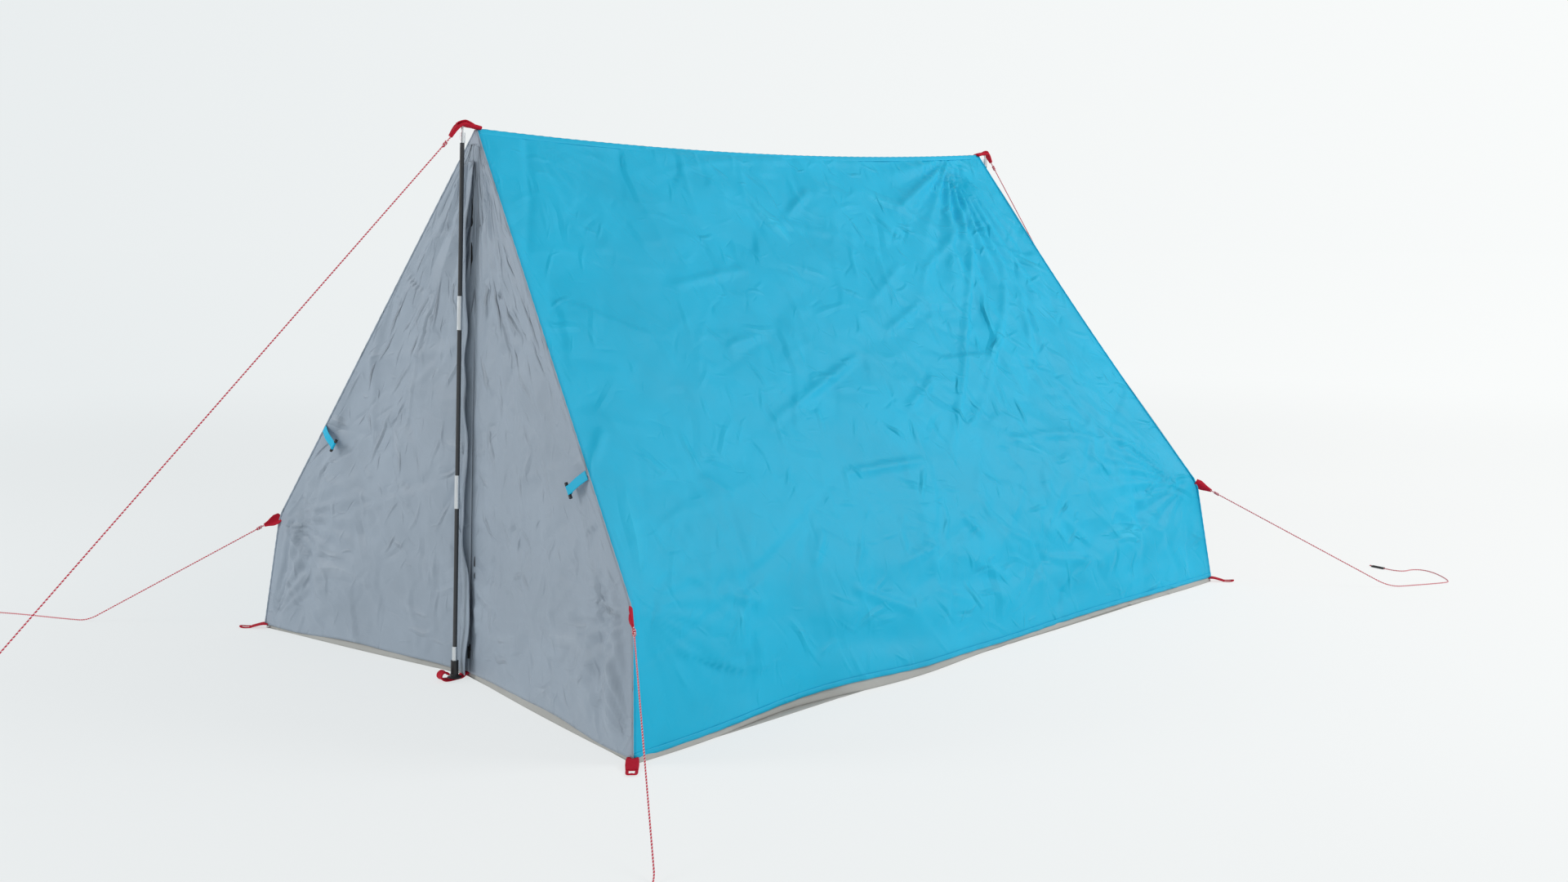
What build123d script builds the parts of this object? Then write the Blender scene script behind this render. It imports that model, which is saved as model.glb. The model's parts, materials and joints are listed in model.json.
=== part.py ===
from build123d import *
import os
from math import hypot, pi, radians, tan

os.makedirs("parts", exist_ok=True)

# A two-person A-frame ridge tent, pitched. Millimetres, +Z up, Y along the ridge, door towards -Y.
# The origin is on the floor under the middle of the ridge.

# Tent body
HALF_WIDTH = 700.0  # centre line to a bottom corner
HALF_LENGTH = 1042.0  # middle to a bottom corner
HEIGHT = 1180.0  # floor to ridge
KNEE_HEIGHT = 277.0  # where the roof slope meets the low side wall
KNEE_HALF_WIDTH = HALF_WIDTH - 36.0
KNEE_HALF_LENGTH = HALF_LENGTH - 34.0
RIDGE_HALF_LENGTH = HALF_LENGTH - 176.0
ENTRY_FOOT = HALF_LENGTH - 112.0  # bottom of each end wall's middle, behind its pole
CLOTH = 1.0  # panel thickness, the stand-in for a coated polyester
SIDE_HEM = 22.0  # side wall hem above the floor
DOOR_HEM = 8.0  # door hem above the floor
RIM_HEIGHT = 34.0  # turned-up edge of the groundsheet
SEAM_BAR = 3.0  # folded ridge seam, width
SEAM_DEPTH = 9.0
APEX_DROP = 32.0  # doors stop this far under the ridge
GORE = 19.0  # gusset width left at the top of each door
HINGE_GAP = 2.0  # from the door's sewn line to cloth on either side
APEX_SETBACK = 4.0  # top of each end wall, outside the ridge seam's end
GUSSET_FOOT = 3.0  # lowest point of a gusset above the floor
RIM_INSET = 6.0  # the rim stops short of each corner fold

# Poles
POLE_FOOT = ENTRY_FOOT + 30.0
POLE_TOP = RIDGE_HALF_LENGTH + 34.0
POLE_LENGTH = hypot(HEIGHT, POLE_FOOT - POLE_TOP)
POLE_RADIUS = 4.75
TUBE_WALL = 1.75
FERRULE_RADIUS = POLE_RADIUS + 1.0
FERRULE_LENGTH = 72.0
SECTION_JOINTS = (410.0, 794.0)  # ferrule middles, measured up the pole
FIT = 0.05  # radial clearance of sleeved metal on tube
SHOCK_CORD_RADIUS = 1.5
SLEEVE_TOP = 71.0
CUP_RADIUS = FERRULE_RADIUS + 2.55
CUP_HEIGHT = 40.0
CUP_FLOOR = 8.0
CUP_FIT = 0.1
CAP_TOP = POLE_LENGTH - 9.5
CAP_BOTTOM = CAP_TOP - 21.0
PIN_RADIUS = 2.5
PIN_LENGTH = 18.0
PIN_FIT = 0.1

# Door zip, storm flap and pull
ZIP_X = 12.0
ZIP_GAP = 1.5  # between the two rows of teeth
ZIP_WIDTH = 9.0
ZIP_THICKNESS = 2.0
ZIP_BOTTOM = 14.0
FLAP_ROOT = 30.0  # flap's sewn edge, left of the zip
SLIDER_LENGTH = 13.0
SLIDER_REST = 60.0  # slider's lower end above the floor when closed
SLIDER_FIT = 0.15
SLIDER_WALL = 0.9
SLIDER_WIDTH = 7.0
PULL_LENGTH = 26.0
PULL_WIDTH = 5.0
PULL_PIN_RADIUS = 0.9
PULL_EYE_FIT = 0.1
PULL_EYE_WALL = 0.6
LUG_REACH = 2.8  # slider face to the pull's pin
LUG_THICKNESS = 1.6
LUG_HEIGHT = 4.8
FORK_GAP = 0.3  # pull's fork to each side of the lug

# Webbing
WEBBING = 2.0
RIDGE_TAB_WIDTH = 20.0
RIDGE_TAB_REACH = 32.0  # tab's outer end, beyond the pole
RIDGE_TAB_DROP = 14.0  # the outer end below the pole's shoulder
RIDGE_TAB_DIP = 3.0  # the sewn end below the pole's shoulder
TAB_SHOULDER = 4.0  # flat stretch each side of the pole's cap
TAB_FIT = 0.4
KNEE_TAB_LENGTH = 45.0
KNEE_TAB_ROOT = 30.0
KNEE_TAB_TIP = 8.0
KNEE_TAB_GAP = 1.0  # from the knee's point to the tab's sewn end
CORNER_TAB_LENGTH = 60.0
CORNER_TAB_WIDTH = 24.0
CORNER_TAB_ANGLE = 42.0
CORNER_TAB_SLIT = 3.0
FOOT_TAB_WIDTH = 30.0
FOOT_TAB_REACH = 58.0
FOOT_TAB_CORNER = 3.0

# Door tie-backs: a strap with a toggle through its end
STRAP_SHARE = 0.745  # place along the roof's front edge, from the ridge
STRAP_LENGTH = 66.0
STRAP_WIDTH = 20.0
STRAP_GAP = 2.5
TOGGLE_RADIUS = 3.5
TOGGLE_LENGTH = 34.0
TOGGLE_NECK = 2.2
TOGGLE_FIT = 0.1
TOGGLE_STAND = 0.4  # between the toggle's barrels and the strap's edges

# Guy lines
CORD = 3.0
KNOT_RADIUS = 1.2 * CORD
KNOT_GAP = 2.0  # between an end knot and the runner resting against it
RUNNER_LENGTH = 38.0
RUNNER_WIDTH = CORD + 8.0
RUNNER_THICKNESS = CORD + 2.0
RUNNER_CORNER = 1.6
RUNNER_FIT = 0.5
RUNNER_LIFT = 0.1  # runner's underside above the floor
GUY_OVERLAP = 3.0  # cord inside the end of its webbing tab
ANCHOR_RADIUS = 20.0  # the cord's turn where it meets the ground


def on_side(point, side, end):
    """The point of the +X, +Y quarter, mirrored to that side (+1 or -1) and that end (+1 or -1)."""
    return Vector(point.X * side, point.Y * end, point.Z)


def panel_plane(corners, inside, start=0.0):
    """The plane through the first three corners, moved by start towards the point inside it faces."""
    origin, second, third = corners[:3]
    along = (second - origin).normalized()
    normal = along.cross(third - origin).normalized()
    if normal.dot(inside - origin) < 0:
        normal = -normal
    return Plane(origin=origin + normal * start, x_dir=along, z_dir=normal)


def flat(plane, corners):
    """The corners in the plane's own two coordinates."""
    local = [plane.to_local_coords(corner) for corner in corners]
    return [(point.X, point.Y) for point in local]


def save(piece, label):
    """Names a finished piece and writes it."""
    piece.part.label = label
    export_step(piece.part, f"parts/{label}.step")


def cloth_panel(label, corners, inside, start=0.0, thickness=CLOTH):
    """One flat panel, thickened inwards from its outer face."""
    plane = panel_plane(corners, inside, start)
    with BuildPart() as panel:
        with BuildSketch(plane):
            with BuildLine():
                Polyline(*flat(plane, corners), close=True)
            make_face()
        extrude(amount=thickness)
    save(panel, label)


INSIDE = Vector(0, 0, HEIGHT / 3)
SIDES = {"left": -1, "right": 1}
ENDS = {"front": -1, "rear": 1}
RIDGE_END = Vector(0, RIDGE_HALF_LENGTH, HEIGHT)
KNEE = Vector(KNEE_HALF_WIDTH, KNEE_HALF_LENGTH, KNEE_HEIGHT)
CORNER = Vector(HALF_WIDTH, HALF_LENGTH, 0)


def between(low, high, height):
    """The point of the line from low to high at that height."""
    return low + (high - low) * ((height - low.Z) / (high.Z - low.Z))


# Roof slopes and low side walls: blue cloth from the ridge seam to the hem.
for name, side in SIDES.items():
    seam = SEAM_BAR / 2
    seam_height = HEIGHT - (HEIGHT - KNEE_HEIGHT) * seam / KNEE_HALF_WIDTH
    top = between(KNEE, RIDGE_END, seam_height)
    roof = [on_side(p, side, e) for p, e in ((top, -1), (KNEE, -1), (KNEE, 1), (top, 1))]
    cloth_panel(f"roof_{name}", roof, INSIDE)
    hem = between(CORNER, KNEE, SIDE_HEM)
    shoulder = between(CORNER, KNEE, KNEE_HEIGHT - CLOTH)
    wall = [on_side(p, side, e) for p, e in ((hem, -1), (shoulder, -1), (shoulder, 1), (hem, 1))]
    cloth_panel(f"wall_{name}", wall, INSIDE)

# The ridge seam: both slopes folded together along the ridge.
with BuildPart() as ridge_seam:
    with BuildSketch(Plane.XZ.offset(-RIDGE_HALF_LENGTH)):
        with Locations((0, HEIGHT - 2 * CLOTH - SEAM_DEPTH / 2)):
            Rectangle(SEAM_BAR, SEAM_DEPTH)
    extrude(amount=2 * RIDGE_HALF_LENGTH)
save(ridge_seam, "ridge_seam")

# End walls. Each half is a big triangle from the bottom corner to the middle, and a narrow gusset
# outside it up to the roof edge. At the front the triangle is a door, hinged on the line between them.
ENTRY_TOP_HEIGHT = HEIGHT - APEX_DROP
ENTRY_TOP = ENTRY_FOOT - (ENTRY_FOOT - RIDGE_HALF_LENGTH - APEX_SETBACK) * ENTRY_TOP_HEIGHT / HEIGHT


def end_plane(side, end, middle=0.0):
    """The outer face of one half of an end wall: through the corner and the wall's middle line."""
    foot = Vector(middle, ENTRY_FOOT * end, 0)
    top = Vector(middle, ENTRY_TOP * end, ENTRY_TOP_HEIGHT)
    return panel_plane([foot, top, on_side(CORNER, side, end)], INSIDE)


def on_plane(plane, x, z):
    """The point of the plane at that x and z."""
    normal = plane.z_dir
    y = plane.origin.Y - (normal.X * (x - plane.origin.X) + normal.Z * (z - plane.origin.Z)) / normal.Y
    return Vector(x, y, z)


def hinge_x(side, height):
    """The door's sewn line across the front, from the corner to the top of the gusset."""
    return side * (HALF_WIDTH + (GORE - HALF_WIDTH) * height / ENTRY_TOP_HEIGHT)


def half_wall(plane, side, inner_x, low, high, outset=0.0):
    """Corners of the triangle between a middle line at inner_x and the sewn line moved in by outset."""
    return [
        on_plane(plane, inner_x, low),
        on_plane(plane, hinge_x(side, low) - side * outset, low),
        on_plane(plane, hinge_x(side, high) - side * outset, high),
        on_plane(plane, inner_x, high),
    ]


def gusset(side, end, low, outset):
    """Corners of the fixed gusset between the sewn line and the roof edge."""
    plane = end_plane(side, end, ZIP_X if end < 0 else 0.0)
    foot = on_plane(plane, hinge_x(side, low) + side * outset, low)
    head = on_plane(plane, hinge_x(side, ENTRY_TOP_HEIGHT) + side * outset, ENTRY_TOP_HEIGHT)
    return [head, on_side(KNEE, side, end), foot]


for name, side in SIDES.items():
    cloth_panel(f"gusset_{name}", gusset(side, -1, GUSSET_FOOT, HINGE_GAP / 2), INSIDE)

    # The rear half wall is one cloth: triangle and gusset meet in a soft fold.
    rear = end_plane(side, 1)
    triangle = half_wall(rear, side, side * CLOTH / 2, SIDE_HEM, ENTRY_TOP_HEIGHT)
    fold = [triangle[2], on_side(KNEE, side, 1), triangle[1]]
    with BuildPart() as rear_wall:
        for corners in (triangle, fold):
            plane = panel_plane(corners, INSIDE)
            with BuildSketch(plane):
                with BuildLine():
                    Polyline(*flat(plane, corners), close=True)
                make_face()
            extrude(amount=CLOTH)
    save(rear_wall, f"rear_wall_{name}")

# Groundsheet, its front and rear edges drawn in behind the poles, and its turned-up rim.
floor_outline = [
    (-HALF_WIDTH + CLOTH, -HALF_LENGTH + CLOTH),
    (0, -ENTRY_FOOT),
    (HALF_WIDTH - CLOTH, -HALF_LENGTH + CLOTH),
    (HALF_WIDTH - CLOTH, HALF_LENGTH - CLOTH),
    (0, ENTRY_FOOT),
    (-HALF_WIDTH + CLOTH, HALF_LENGTH - CLOTH),
]
with BuildPart() as groundsheet:
    with BuildSketch():
        with BuildLine():
            Polyline(*floor_outline, close=True)
        make_face()
    extrude(amount=CLOTH)
save(groundsheet, "groundsheet")

with BuildPart() as groundsheet_rim:
    for side in SIDES.values():
        low = between(CORNER, KNEE, CLOTH)
        high = between(CORNER, KNEE, RIM_HEIGHT)
        side_rim = [on_side(p, side, e) for p, e in ((low, -1), (high, -1), (high, 1), (low, 1))]
        rear_plane = end_plane(side, 1)
        rear_rim = [
            on_plane(rear_plane, side * RIM_INSET, CLOTH),
            on_plane(rear_plane, side * (HALF_WIDTH - 4 * RIM_INSET), CLOTH),
            on_plane(rear_plane, side * (HALF_WIDTH - 4 * RIM_INSET), RIM_HEIGHT),
            on_plane(rear_plane, side * RIM_INSET, RIM_HEIGHT),
        ]
        shorter = [corner - Vector(0, RIM_INSET * 2, 0) * (1 if corner.Y > 0 else -1) for corner in side_rim]
        for corners in (shorter, rear_rim):
            plane = panel_plane(corners, INSIDE, CLOTH)
            with BuildSketch(plane):
                with BuildLine():
                    Polyline(*flat(plane, corners), close=True)
                make_face()
            extrude(amount=CLOTH)
save(groundsheet_rim, "groundsheet_rim")

# Doors: two cloth triangles that meet at the zip, each with its half of the zip.
for name, side in SIDES.items():
    plane = end_plane(side, -1, ZIP_X)
    teeth = ZIP_X + side * ZIP_GAP / 2
    tape = teeth + side * ZIP_WIDTH
    cloth_panel(
        f"door_{name}",
        half_wall(plane, side, tape, DOOR_HEM, ENTRY_TOP_HEIGHT - 2 * ZIP_WIDTH, HINGE_GAP / 2),
        INSIDE,
    )
    zip_top = ENTRY_TOP_HEIGHT - 3 * ZIP_WIDTH
    strip = [
        on_plane(plane, teeth, ZIP_BOTTOM),
        on_plane(plane, tape, ZIP_BOTTOM),
        on_plane(plane, tape, zip_top),
        on_plane(plane, teeth, zip_top),
    ]
    cloth_panel(f"zip_{name}", strip, INSIDE, thickness=ZIP_THICKNESS)

# Storm flap, sewn to the left door and covering its half of the zip.
flap_plane = end_plane(-1, -1, ZIP_X)
flap_root = ZIP_X - FLAP_ROOT
flap_edge = ZIP_X - ZIP_GAP / 2
flap_top = ENTRY_TOP_HEIGHT - 4 * ZIP_WIDTH
flap = [
    on_plane(flap_plane, flap_root, DOOR_HEM + CLOTH),
    on_plane(flap_plane, flap_edge, DOOR_HEM + CLOTH),
    on_plane(flap_plane, flap_edge, flap_top),
    on_plane(flap_plane, flap_root, flap_top),
]
cloth_panel("storm_flap", flap, INSIDE, start=-CLOTH)

# Zip slider: a channel round the right row of teeth, with a lug for the pull's pin.
right_plane = end_plane(1, -1, ZIP_X)
zip_axis = (on_plane(right_plane, ZIP_X, HEIGHT) - on_plane(right_plane, ZIP_X, 0)).normalized()
teeth_edge = ZIP_X + ZIP_GAP / 2
slider_foot = on_plane(right_plane, teeth_edge, SLIDER_REST)
across = right_plane.z_dir.cross(zip_axis).normalized()
if across.X < 0:
    across = -across
slider_plane = Plane(origin=slider_foot, x_dir=across, z_dir=zip_axis)
outward = -1 if slider_plane.y_dir.Y > 0 else 1
slot_depth = ZIP_THICKNESS + 2 * SLIDER_FIT
body_depth = slot_depth + 2 * SLIDER_WALL
middle_y = -outward * ZIP_THICKNESS / 2
face_y = middle_y + outward * body_depth / 2
body_x = SLIDER_WIDTH / 2 - SLIDER_FIT - SLIDER_WALL
lug_x = SLIDER_WIDTH / 2 - SLIDER_WALL
pin_height = SLIDER_LENGTH / 2
pull_pin = slider_foot + slider_plane.x_dir * lug_x + zip_axis * pin_height
pull_pin += slider_plane.y_dir * (face_y + outward * LUG_REACH)
with BuildPart() as zip_slider:
    with BuildSketch(slider_plane):
        with Locations((body_x, middle_y)):
            Rectangle(SLIDER_WIDTH, body_depth)
        with Locations((body_x + SLIDER_WALL, middle_y)):
            Rectangle(SLIDER_WIDTH, slot_depth, mode=Mode.SUBTRACT)
    extrude(amount=SLIDER_LENGTH)
    with BuildSketch(slider_plane.offset(pin_height - LUG_HEIGHT / 2)):
        with Locations((lug_x, face_y + outward * LUG_REACH / 2)):
            Rectangle(LUG_THICKNESS, LUG_REACH)
    extrude(amount=LUG_HEIGHT)
    with BuildSketch(Plane(origin=pull_pin, x_dir=zip_axis, z_dir=across).offset(-PULL_WIDTH / 2)):
        Circle(PULL_PIN_RADIUS)
    extrude(amount=PULL_WIDTH)
save(zip_slider, "zip_slider")

# Zip pull: a tab that forks over the lug and hangs on its pin.
pull_half_depth = PULL_PIN_RADIUS + PULL_EYE_FIT + PULL_EYE_WALL
with BuildPart() as zip_pull:
    with BuildSketch(Plane(origin=pull_pin, x_dir=across, z_dir=across.cross(zip_axis))):
        with Locations((0, pull_half_depth - PULL_LENGTH / 2)):
            Rectangle(PULL_WIDTH, PULL_LENGTH)
        Rectangle(LUG_THICKNESS + 2 * FORK_GAP, LUG_HEIGHT + 4 * FORK_GAP, mode=Mode.SUBTRACT)
    extrude(amount=pull_half_depth, both=True)
    with BuildSketch(Plane(origin=pull_pin, x_dir=zip_axis, z_dir=across)):
        Circle(PULL_PIN_RADIUS + PULL_EYE_FIT)
    extrude(amount=PULL_WIDTH, both=True, mode=Mode.SUBTRACT)
save(zip_pull, "zip_pull")

# Poles: three tube sections joined by ferrules, a sleeve at the foot, a capped pin at the top,
# and the elastic cord inside. Each pole stands in a cup on a webbing foot tab.
tab_ends = {}
for name, end in ENDS.items():
    foot = Vector(0, POLE_FOOT * end, 0)
    top = Vector(0, POLE_TOP * end, HEIGHT)
    pole = Plane(origin=foot, x_dir=(1, 0, 0), z_dir=(top - foot).normalized())
    lower_joint, upper_joint = SECTION_JOINTS
    spans = {
        "lower": (CUP_FLOOR + 2 * CLOTH, lower_joint),
        "middle": (lower_joint, upper_joint),
        "upper": (upper_joint, CAP_TOP - 2 * CLOTH),
    }
    for section, (start, stop) in spans.items():
        with BuildPart() as tube:
            with BuildSketch(pole.offset(start)):
                Circle(POLE_RADIUS)
                Circle(POLE_RADIUS - TUBE_WALL, mode=Mode.SUBTRACT)
            extrude(amount=stop - start)
        save(tube, f"pole_{name}_{section}")

    with BuildPart() as ferrules:
        for joint in SECTION_JOINTS:
            with BuildSketch(pole.offset(joint - FERRULE_LENGTH / 2)):
                Circle(FERRULE_RADIUS)
                Circle(POLE_RADIUS + FIT, mode=Mode.SUBTRACT)
            extrude(amount=FERRULE_LENGTH)
    save(ferrules, f"pole_{name}_ferrules")

    with BuildPart() as sleeve:
        with BuildSketch(pole.offset(CUP_FLOOR + CUP_FIT)):
            Circle(FERRULE_RADIUS)
        extrude(amount=SLEEVE_TOP - CUP_FLOOR - CUP_FIT)
        with BuildSketch(pole.offset(spans["lower"][0])):
            Circle(POLE_RADIUS + FIT)
        extrude(amount=SLEEVE_TOP, mode=Mode.SUBTRACT)
    save(sleeve, f"pole_{name}_sleeve")

    with BuildPart() as tip:
        with BuildSketch(pole.offset(CAP_BOTTOM)):
            Circle(FERRULE_RADIUS)
        extrude(amount=CAP_TOP - CAP_BOTTOM)
        with BuildSketch(pole.offset(CAP_BOTTOM)):
            Circle(POLE_RADIUS + FIT)
        extrude(amount=spans["upper"][1] - CAP_BOTTOM, mode=Mode.SUBTRACT)
        with BuildSketch(pole.offset(CAP_TOP)):
            Circle(PIN_RADIUS)
        extrude(amount=PIN_LENGTH)
        fillet(tip.faces().sort_by(Axis.Z)[-1].edges(), PIN_RADIUS * 0.6)
    save(tip, f"pole_{name}_tip")

    with BuildPart() as shock_cord:
        with BuildSketch(pole.offset(spans["lower"][0])):
            Circle(SHOCK_CORD_RADIUS)
        extrude(amount=spans["upper"][1] - spans["lower"][0])
    save(shock_cord, f"shock_cord_{name}")

    with BuildPart() as foot_cup:
        with BuildSketch(pole):
            Circle(CUP_RADIUS)
        extrude(amount=CUP_HEIGHT)
        with BuildSketch(pole.offset(CUP_FLOOR)):
            Circle(FERRULE_RADIUS + CUP_FIT)
        extrude(amount=CUP_HEIGHT, mode=Mode.SUBTRACT)
        split(bisect_by=Plane.XY.offset(WEBBING), keep=Keep.TOP)
    save(foot_cup, f"foot_cup_{name}")

    with BuildPart() as foot_tab:
        with BuildSketch():
            with Locations((0, end * (ENTRY_FOOT + POLE_FOOT + FOOT_TAB_REACH) / 2)):
                RectangleRounded(FOOT_TAB_WIDTH, POLE_FOOT + FOOT_TAB_REACH - ENTRY_FOOT, FOOT_TAB_CORNER)
        extrude(amount=WEBBING)
    save(foot_tab, f"foot_tab_{name}")

    # Ridge tab: webbing from the ridge over the pole's shoulder, with an eye for the pin.
    shoulder_height = (pole.origin + pole.z_dir * CAP_TOP).Z + TAB_FIT
    strap_line = [
        (end * (RIDGE_HALF_LENGTH + CLOTH), shoulder_height - RIDGE_TAB_DIP),
        (end * (POLE_TOP - FERRULE_RADIUS - TAB_SHOULDER), shoulder_height),
        (end * (POLE_TOP + FERRULE_RADIUS + TAB_SHOULDER), shoulder_height),
        (end * (POLE_TOP + RIDGE_TAB_REACH), shoulder_height - RIDGE_TAB_DROP),
    ]
    tab_ends[name] = Vector(0, end * (POLE_TOP + RIDGE_TAB_REACH), shoulder_height - RIDGE_TAB_DROP)
    with BuildPart() as ridge_tab:
        with BuildSketch(Plane.YZ.offset(-RIDGE_TAB_WIDTH / 2)):
            with BuildLine():
                Polyline(*strap_line, *[(y, z + WEBBING) for y, z in reversed(strap_line)], close=True)
            make_face()
        extrude(amount=RIDGE_TAB_WIDTH)
        with BuildSketch(pole.offset(CAP_TOP - PIN_LENGTH)):
            Circle(PIN_RADIUS + PIN_FIT)
        extrude(amount=3 * PIN_LENGTH, mode=Mode.SUBTRACT)
    save(ridge_tab, f"ridge_tab_{name}")

# Guy line routes. The first point is on the tent, the second the ground point that the taut stretch
# runs to, and the rest the loose tail along the floor, through the runner to the end knot.
FLOOR_LIE = CORD / 2
RUNNER_LIE = RUNNER_THICKNESS / 2 + RUNNER_LIFT
RIDGE_ANCHOR = {"front": -2127.0, "rear": 2016.0}
KNEE_ANCHOR = {
    ("right", "front"): (1122.0, -1352.0),
    ("left", "front"): (-1075.0, -1322.0),
    ("right", "rear"): (1085.0, 1316.0),
    ("left", "rear"): (-1085.0, 1316.0),
}
TAILS = {
    "guy_right_rear": [
        (1124, 1384), (1151, 1433), (1174, 1478), (1173, 1499), (1142, 1538), (1100, 1577),
        (1061, 1592), (1036, 1570), (1034, 1540), (1014, 1520), (974, 1527), (934, 1535),
    ],
    "guy_right_front": [
        (1146, -1395), (1163, -1441), (1164, -1490), (1145, -1535), (1110, -1569), (1066, -1590),
        (1021, -1608), (976, -1627),
    ],
    "guy_left_front": [
        (-1126, -1350), (-1180, -1376), (-1236, -1402), (-1292, -1431), (-1344, -1462), (-1374, -1506),
        (-1368, -1556), (-1332, -1592), (-1291, -1620), (-1250, -1647),
    ],
    "guy_left_rear": [
        (-1116, 1350), (-1152, 1392), (-1166, 1444), (-1140, 1490), (-1092, 1508), (-1042, 1502),
        (-994, 1490), (-946, 1479),
    ],
    "guy_ridge_front": [
        (-45, -2146), (-94, -2139), (-137, -2115), (-165, -2075), (-179, -2028), (-187, -1979),
        (-194, -1930), (-200, -1881),
    ],
    "guy_ridge_rear": [
        (-46, 2031), (-94, 2024), (-138, 2003), (-168, 1965), (-184, 1919), (-193, 1871),
        (-201, 1823), (-208, 1775),
    ],
}


def knee_direction(name, where):
    """From the knee to the ground point of that knee's guy."""
    knee = on_side(KNEE, SIDES[name], ENDS[where])
    anchor = Vector(*KNEE_ANCHOR[name, where], FLOOR_LIE)
    return knee, (anchor - knee).normalized(), anchor


def corner_radii(points):
    """0.45 of the shorter run over the tangent of half the turn, at each inner point."""
    radii = []
    for before, here, after in zip(points, points[1:], points[2:]):
        first, second = here - before, after - here
        turn = first.get_angle(second)
        radii.append(0.45 * min(first.length, second.length) / tan(radians(turn / 2)))
    return radii


def guy_route(label, start, anchor):
    """The whole route: taut run, then the tail, raised where it goes through the runner."""
    tail = TAILS[label]
    heights = [FLOOR_LIE] * (len(tail) - 3) + [RUNNER_LIE] * 3
    return [start, anchor] + [Vector(x, y, z) for (x, y), z in zip(tail, heights)]


routes = {}
for name in SIDES:
    for where in ENDS:
        knee, direction, anchor = knee_direction(name, where)
        start = knee + direction * (KNEE_TAB_LENGTH - GUY_OVERLAP)
        routes[f"guy_{name}_{where}"] = guy_route(f"guy_{name}_{where}", start, anchor)
for where, end in ENDS.items():
    anchor = Vector(0, RIDGE_ANCHOR[where], FLOOR_LIE)
    start = tab_ends[where] + Vector(0, -end * CLOTH, WEBBING / 2)
    routes[f"guy_ridge_{where}"] = guy_route(f"guy_ridge_{where}", start, anchor)

with BuildPart() as guy_end_knots:
    for label, route in routes.items():
        with Locations((route[-1].X, route[-1].Y, KNOT_RADIUS)):
            Sphere(KNOT_RADIUS)
save(guy_end_knots, "guy_end_knots")

for label, route in routes.items():
    radii = corner_radii(route)
    radii[0] = min(radii[0], ANCHOR_RADIUS)
    with BuildPart() as guy:
        with BuildLine():
            path = FilletPolyline(*route, radius=radii)
        with BuildSketch(Plane(origin=path @ 0, z_dir=path % 0)):
            Circle(CORD / 2)
        sweep()
    save(guy, label)
    ideal = path.length * pi * CORD**2 / 4
    print(label, "length", round(path.length), "volume share", round(guy.part.volume / ideal, 4))
    print("  radii", [round(radius) for radius in radii])

    # Runner: a slim plastic tensioner threaded on the straight stretch next to the end knot.
    direction = (route[-3] - route[-1]).normalized()
    runner_foot = route[-1] + direction * (KNOT_RADIUS + KNOT_GAP)
    runner_plane = Plane(origin=runner_foot, x_dir=direction.cross(Vector(0, 0, 1)), z_dir=direction)
    with BuildPart() as runner:
        with BuildSketch(runner_plane):
            RectangleRounded(RUNNER_WIDTH, RUNNER_THICKNESS, RUNNER_CORNER)
        extrude(amount=RUNNER_LENGTH)
        with BuildSketch(runner_plane):
            Circle(CORD / 2 + RUNNER_FIT)
        extrude(amount=RUNNER_LENGTH, mode=Mode.SUBTRACT)
    save(runner, label.replace("guy_", "runner_"))
    print("  runner axis", [round(v, 5) for v in direction], "from", [round(v, 1) for v in runner_plane.origin])

# Knee tabs: red webbing sewn into each knee, tapering to the guy.
with BuildPart() as knee_tabs:
    for name in SIDES:
        for where in ENDS:
            knee, direction, anchor = knee_direction(name, where)
            level = Vector(0, 0, 1).cross(direction).normalized()
            tab_plane = Plane(origin=knee - level * WEBBING / 2, x_dir=direction, z_dir=level)
            outline = [
                (KNEE_TAB_GAP, -KNEE_TAB_ROOT / 2),
                (KNEE_TAB_LENGTH, -KNEE_TAB_TIP / 2),
                (KNEE_TAB_LENGTH, KNEE_TAB_TIP / 2),
                (KNEE_TAB_GAP, KNEE_TAB_ROOT / 2),
            ]
            with BuildSketch(tab_plane):
                with BuildLine():
                    Polyline(*outline, close=True)
                make_face()
            extrude(amount=WEBBING)
save(knee_tabs, "knee_tabs")

# Corner peg loops: webbing doubled back on itself, lying flat, open at its outer end.
with BuildPart() as corner_tabs:
    for side in SIDES.values():
        for end in ENDS.values():
            corner = on_side(CORNER + Vector(CLOTH, CLOTH, 0), side, end)
            turn = CORNER_TAB_ANGLE if side > 0 else 180 - CORNER_TAB_ANGLE
            outwards = Vector(1, 0, 0).rotate(Axis.Z, turn * end)
            loop_plane = Plane(
                origin=corner,
                x_dir=outwards,
                z_dir=outwards.cross(Vector(0, 0, 1)),
            )
            height = 2 * CLOTH + CORNER_TAB_SLIT
            with BuildSketch(loop_plane):
                with Locations((CORNER_TAB_LENGTH / 2, height / 2)):
                    RectangleRounded(CORNER_TAB_LENGTH, height, height / 2 - 0.1)
                with Locations((CORNER_TAB_LENGTH / 2, height / 2)):
                    RectangleRounded(
                        CORNER_TAB_LENGTH - 4 * CLOTH,
                        CORNER_TAB_SLIT,
                        CORNER_TAB_SLIT / 2 - 0.1,
                        mode=Mode.SUBTRACT,
                    )
            extrude(amount=CORNER_TAB_WIDTH / 2, both=True)
save(corner_tabs, "corner_tabs")

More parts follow.
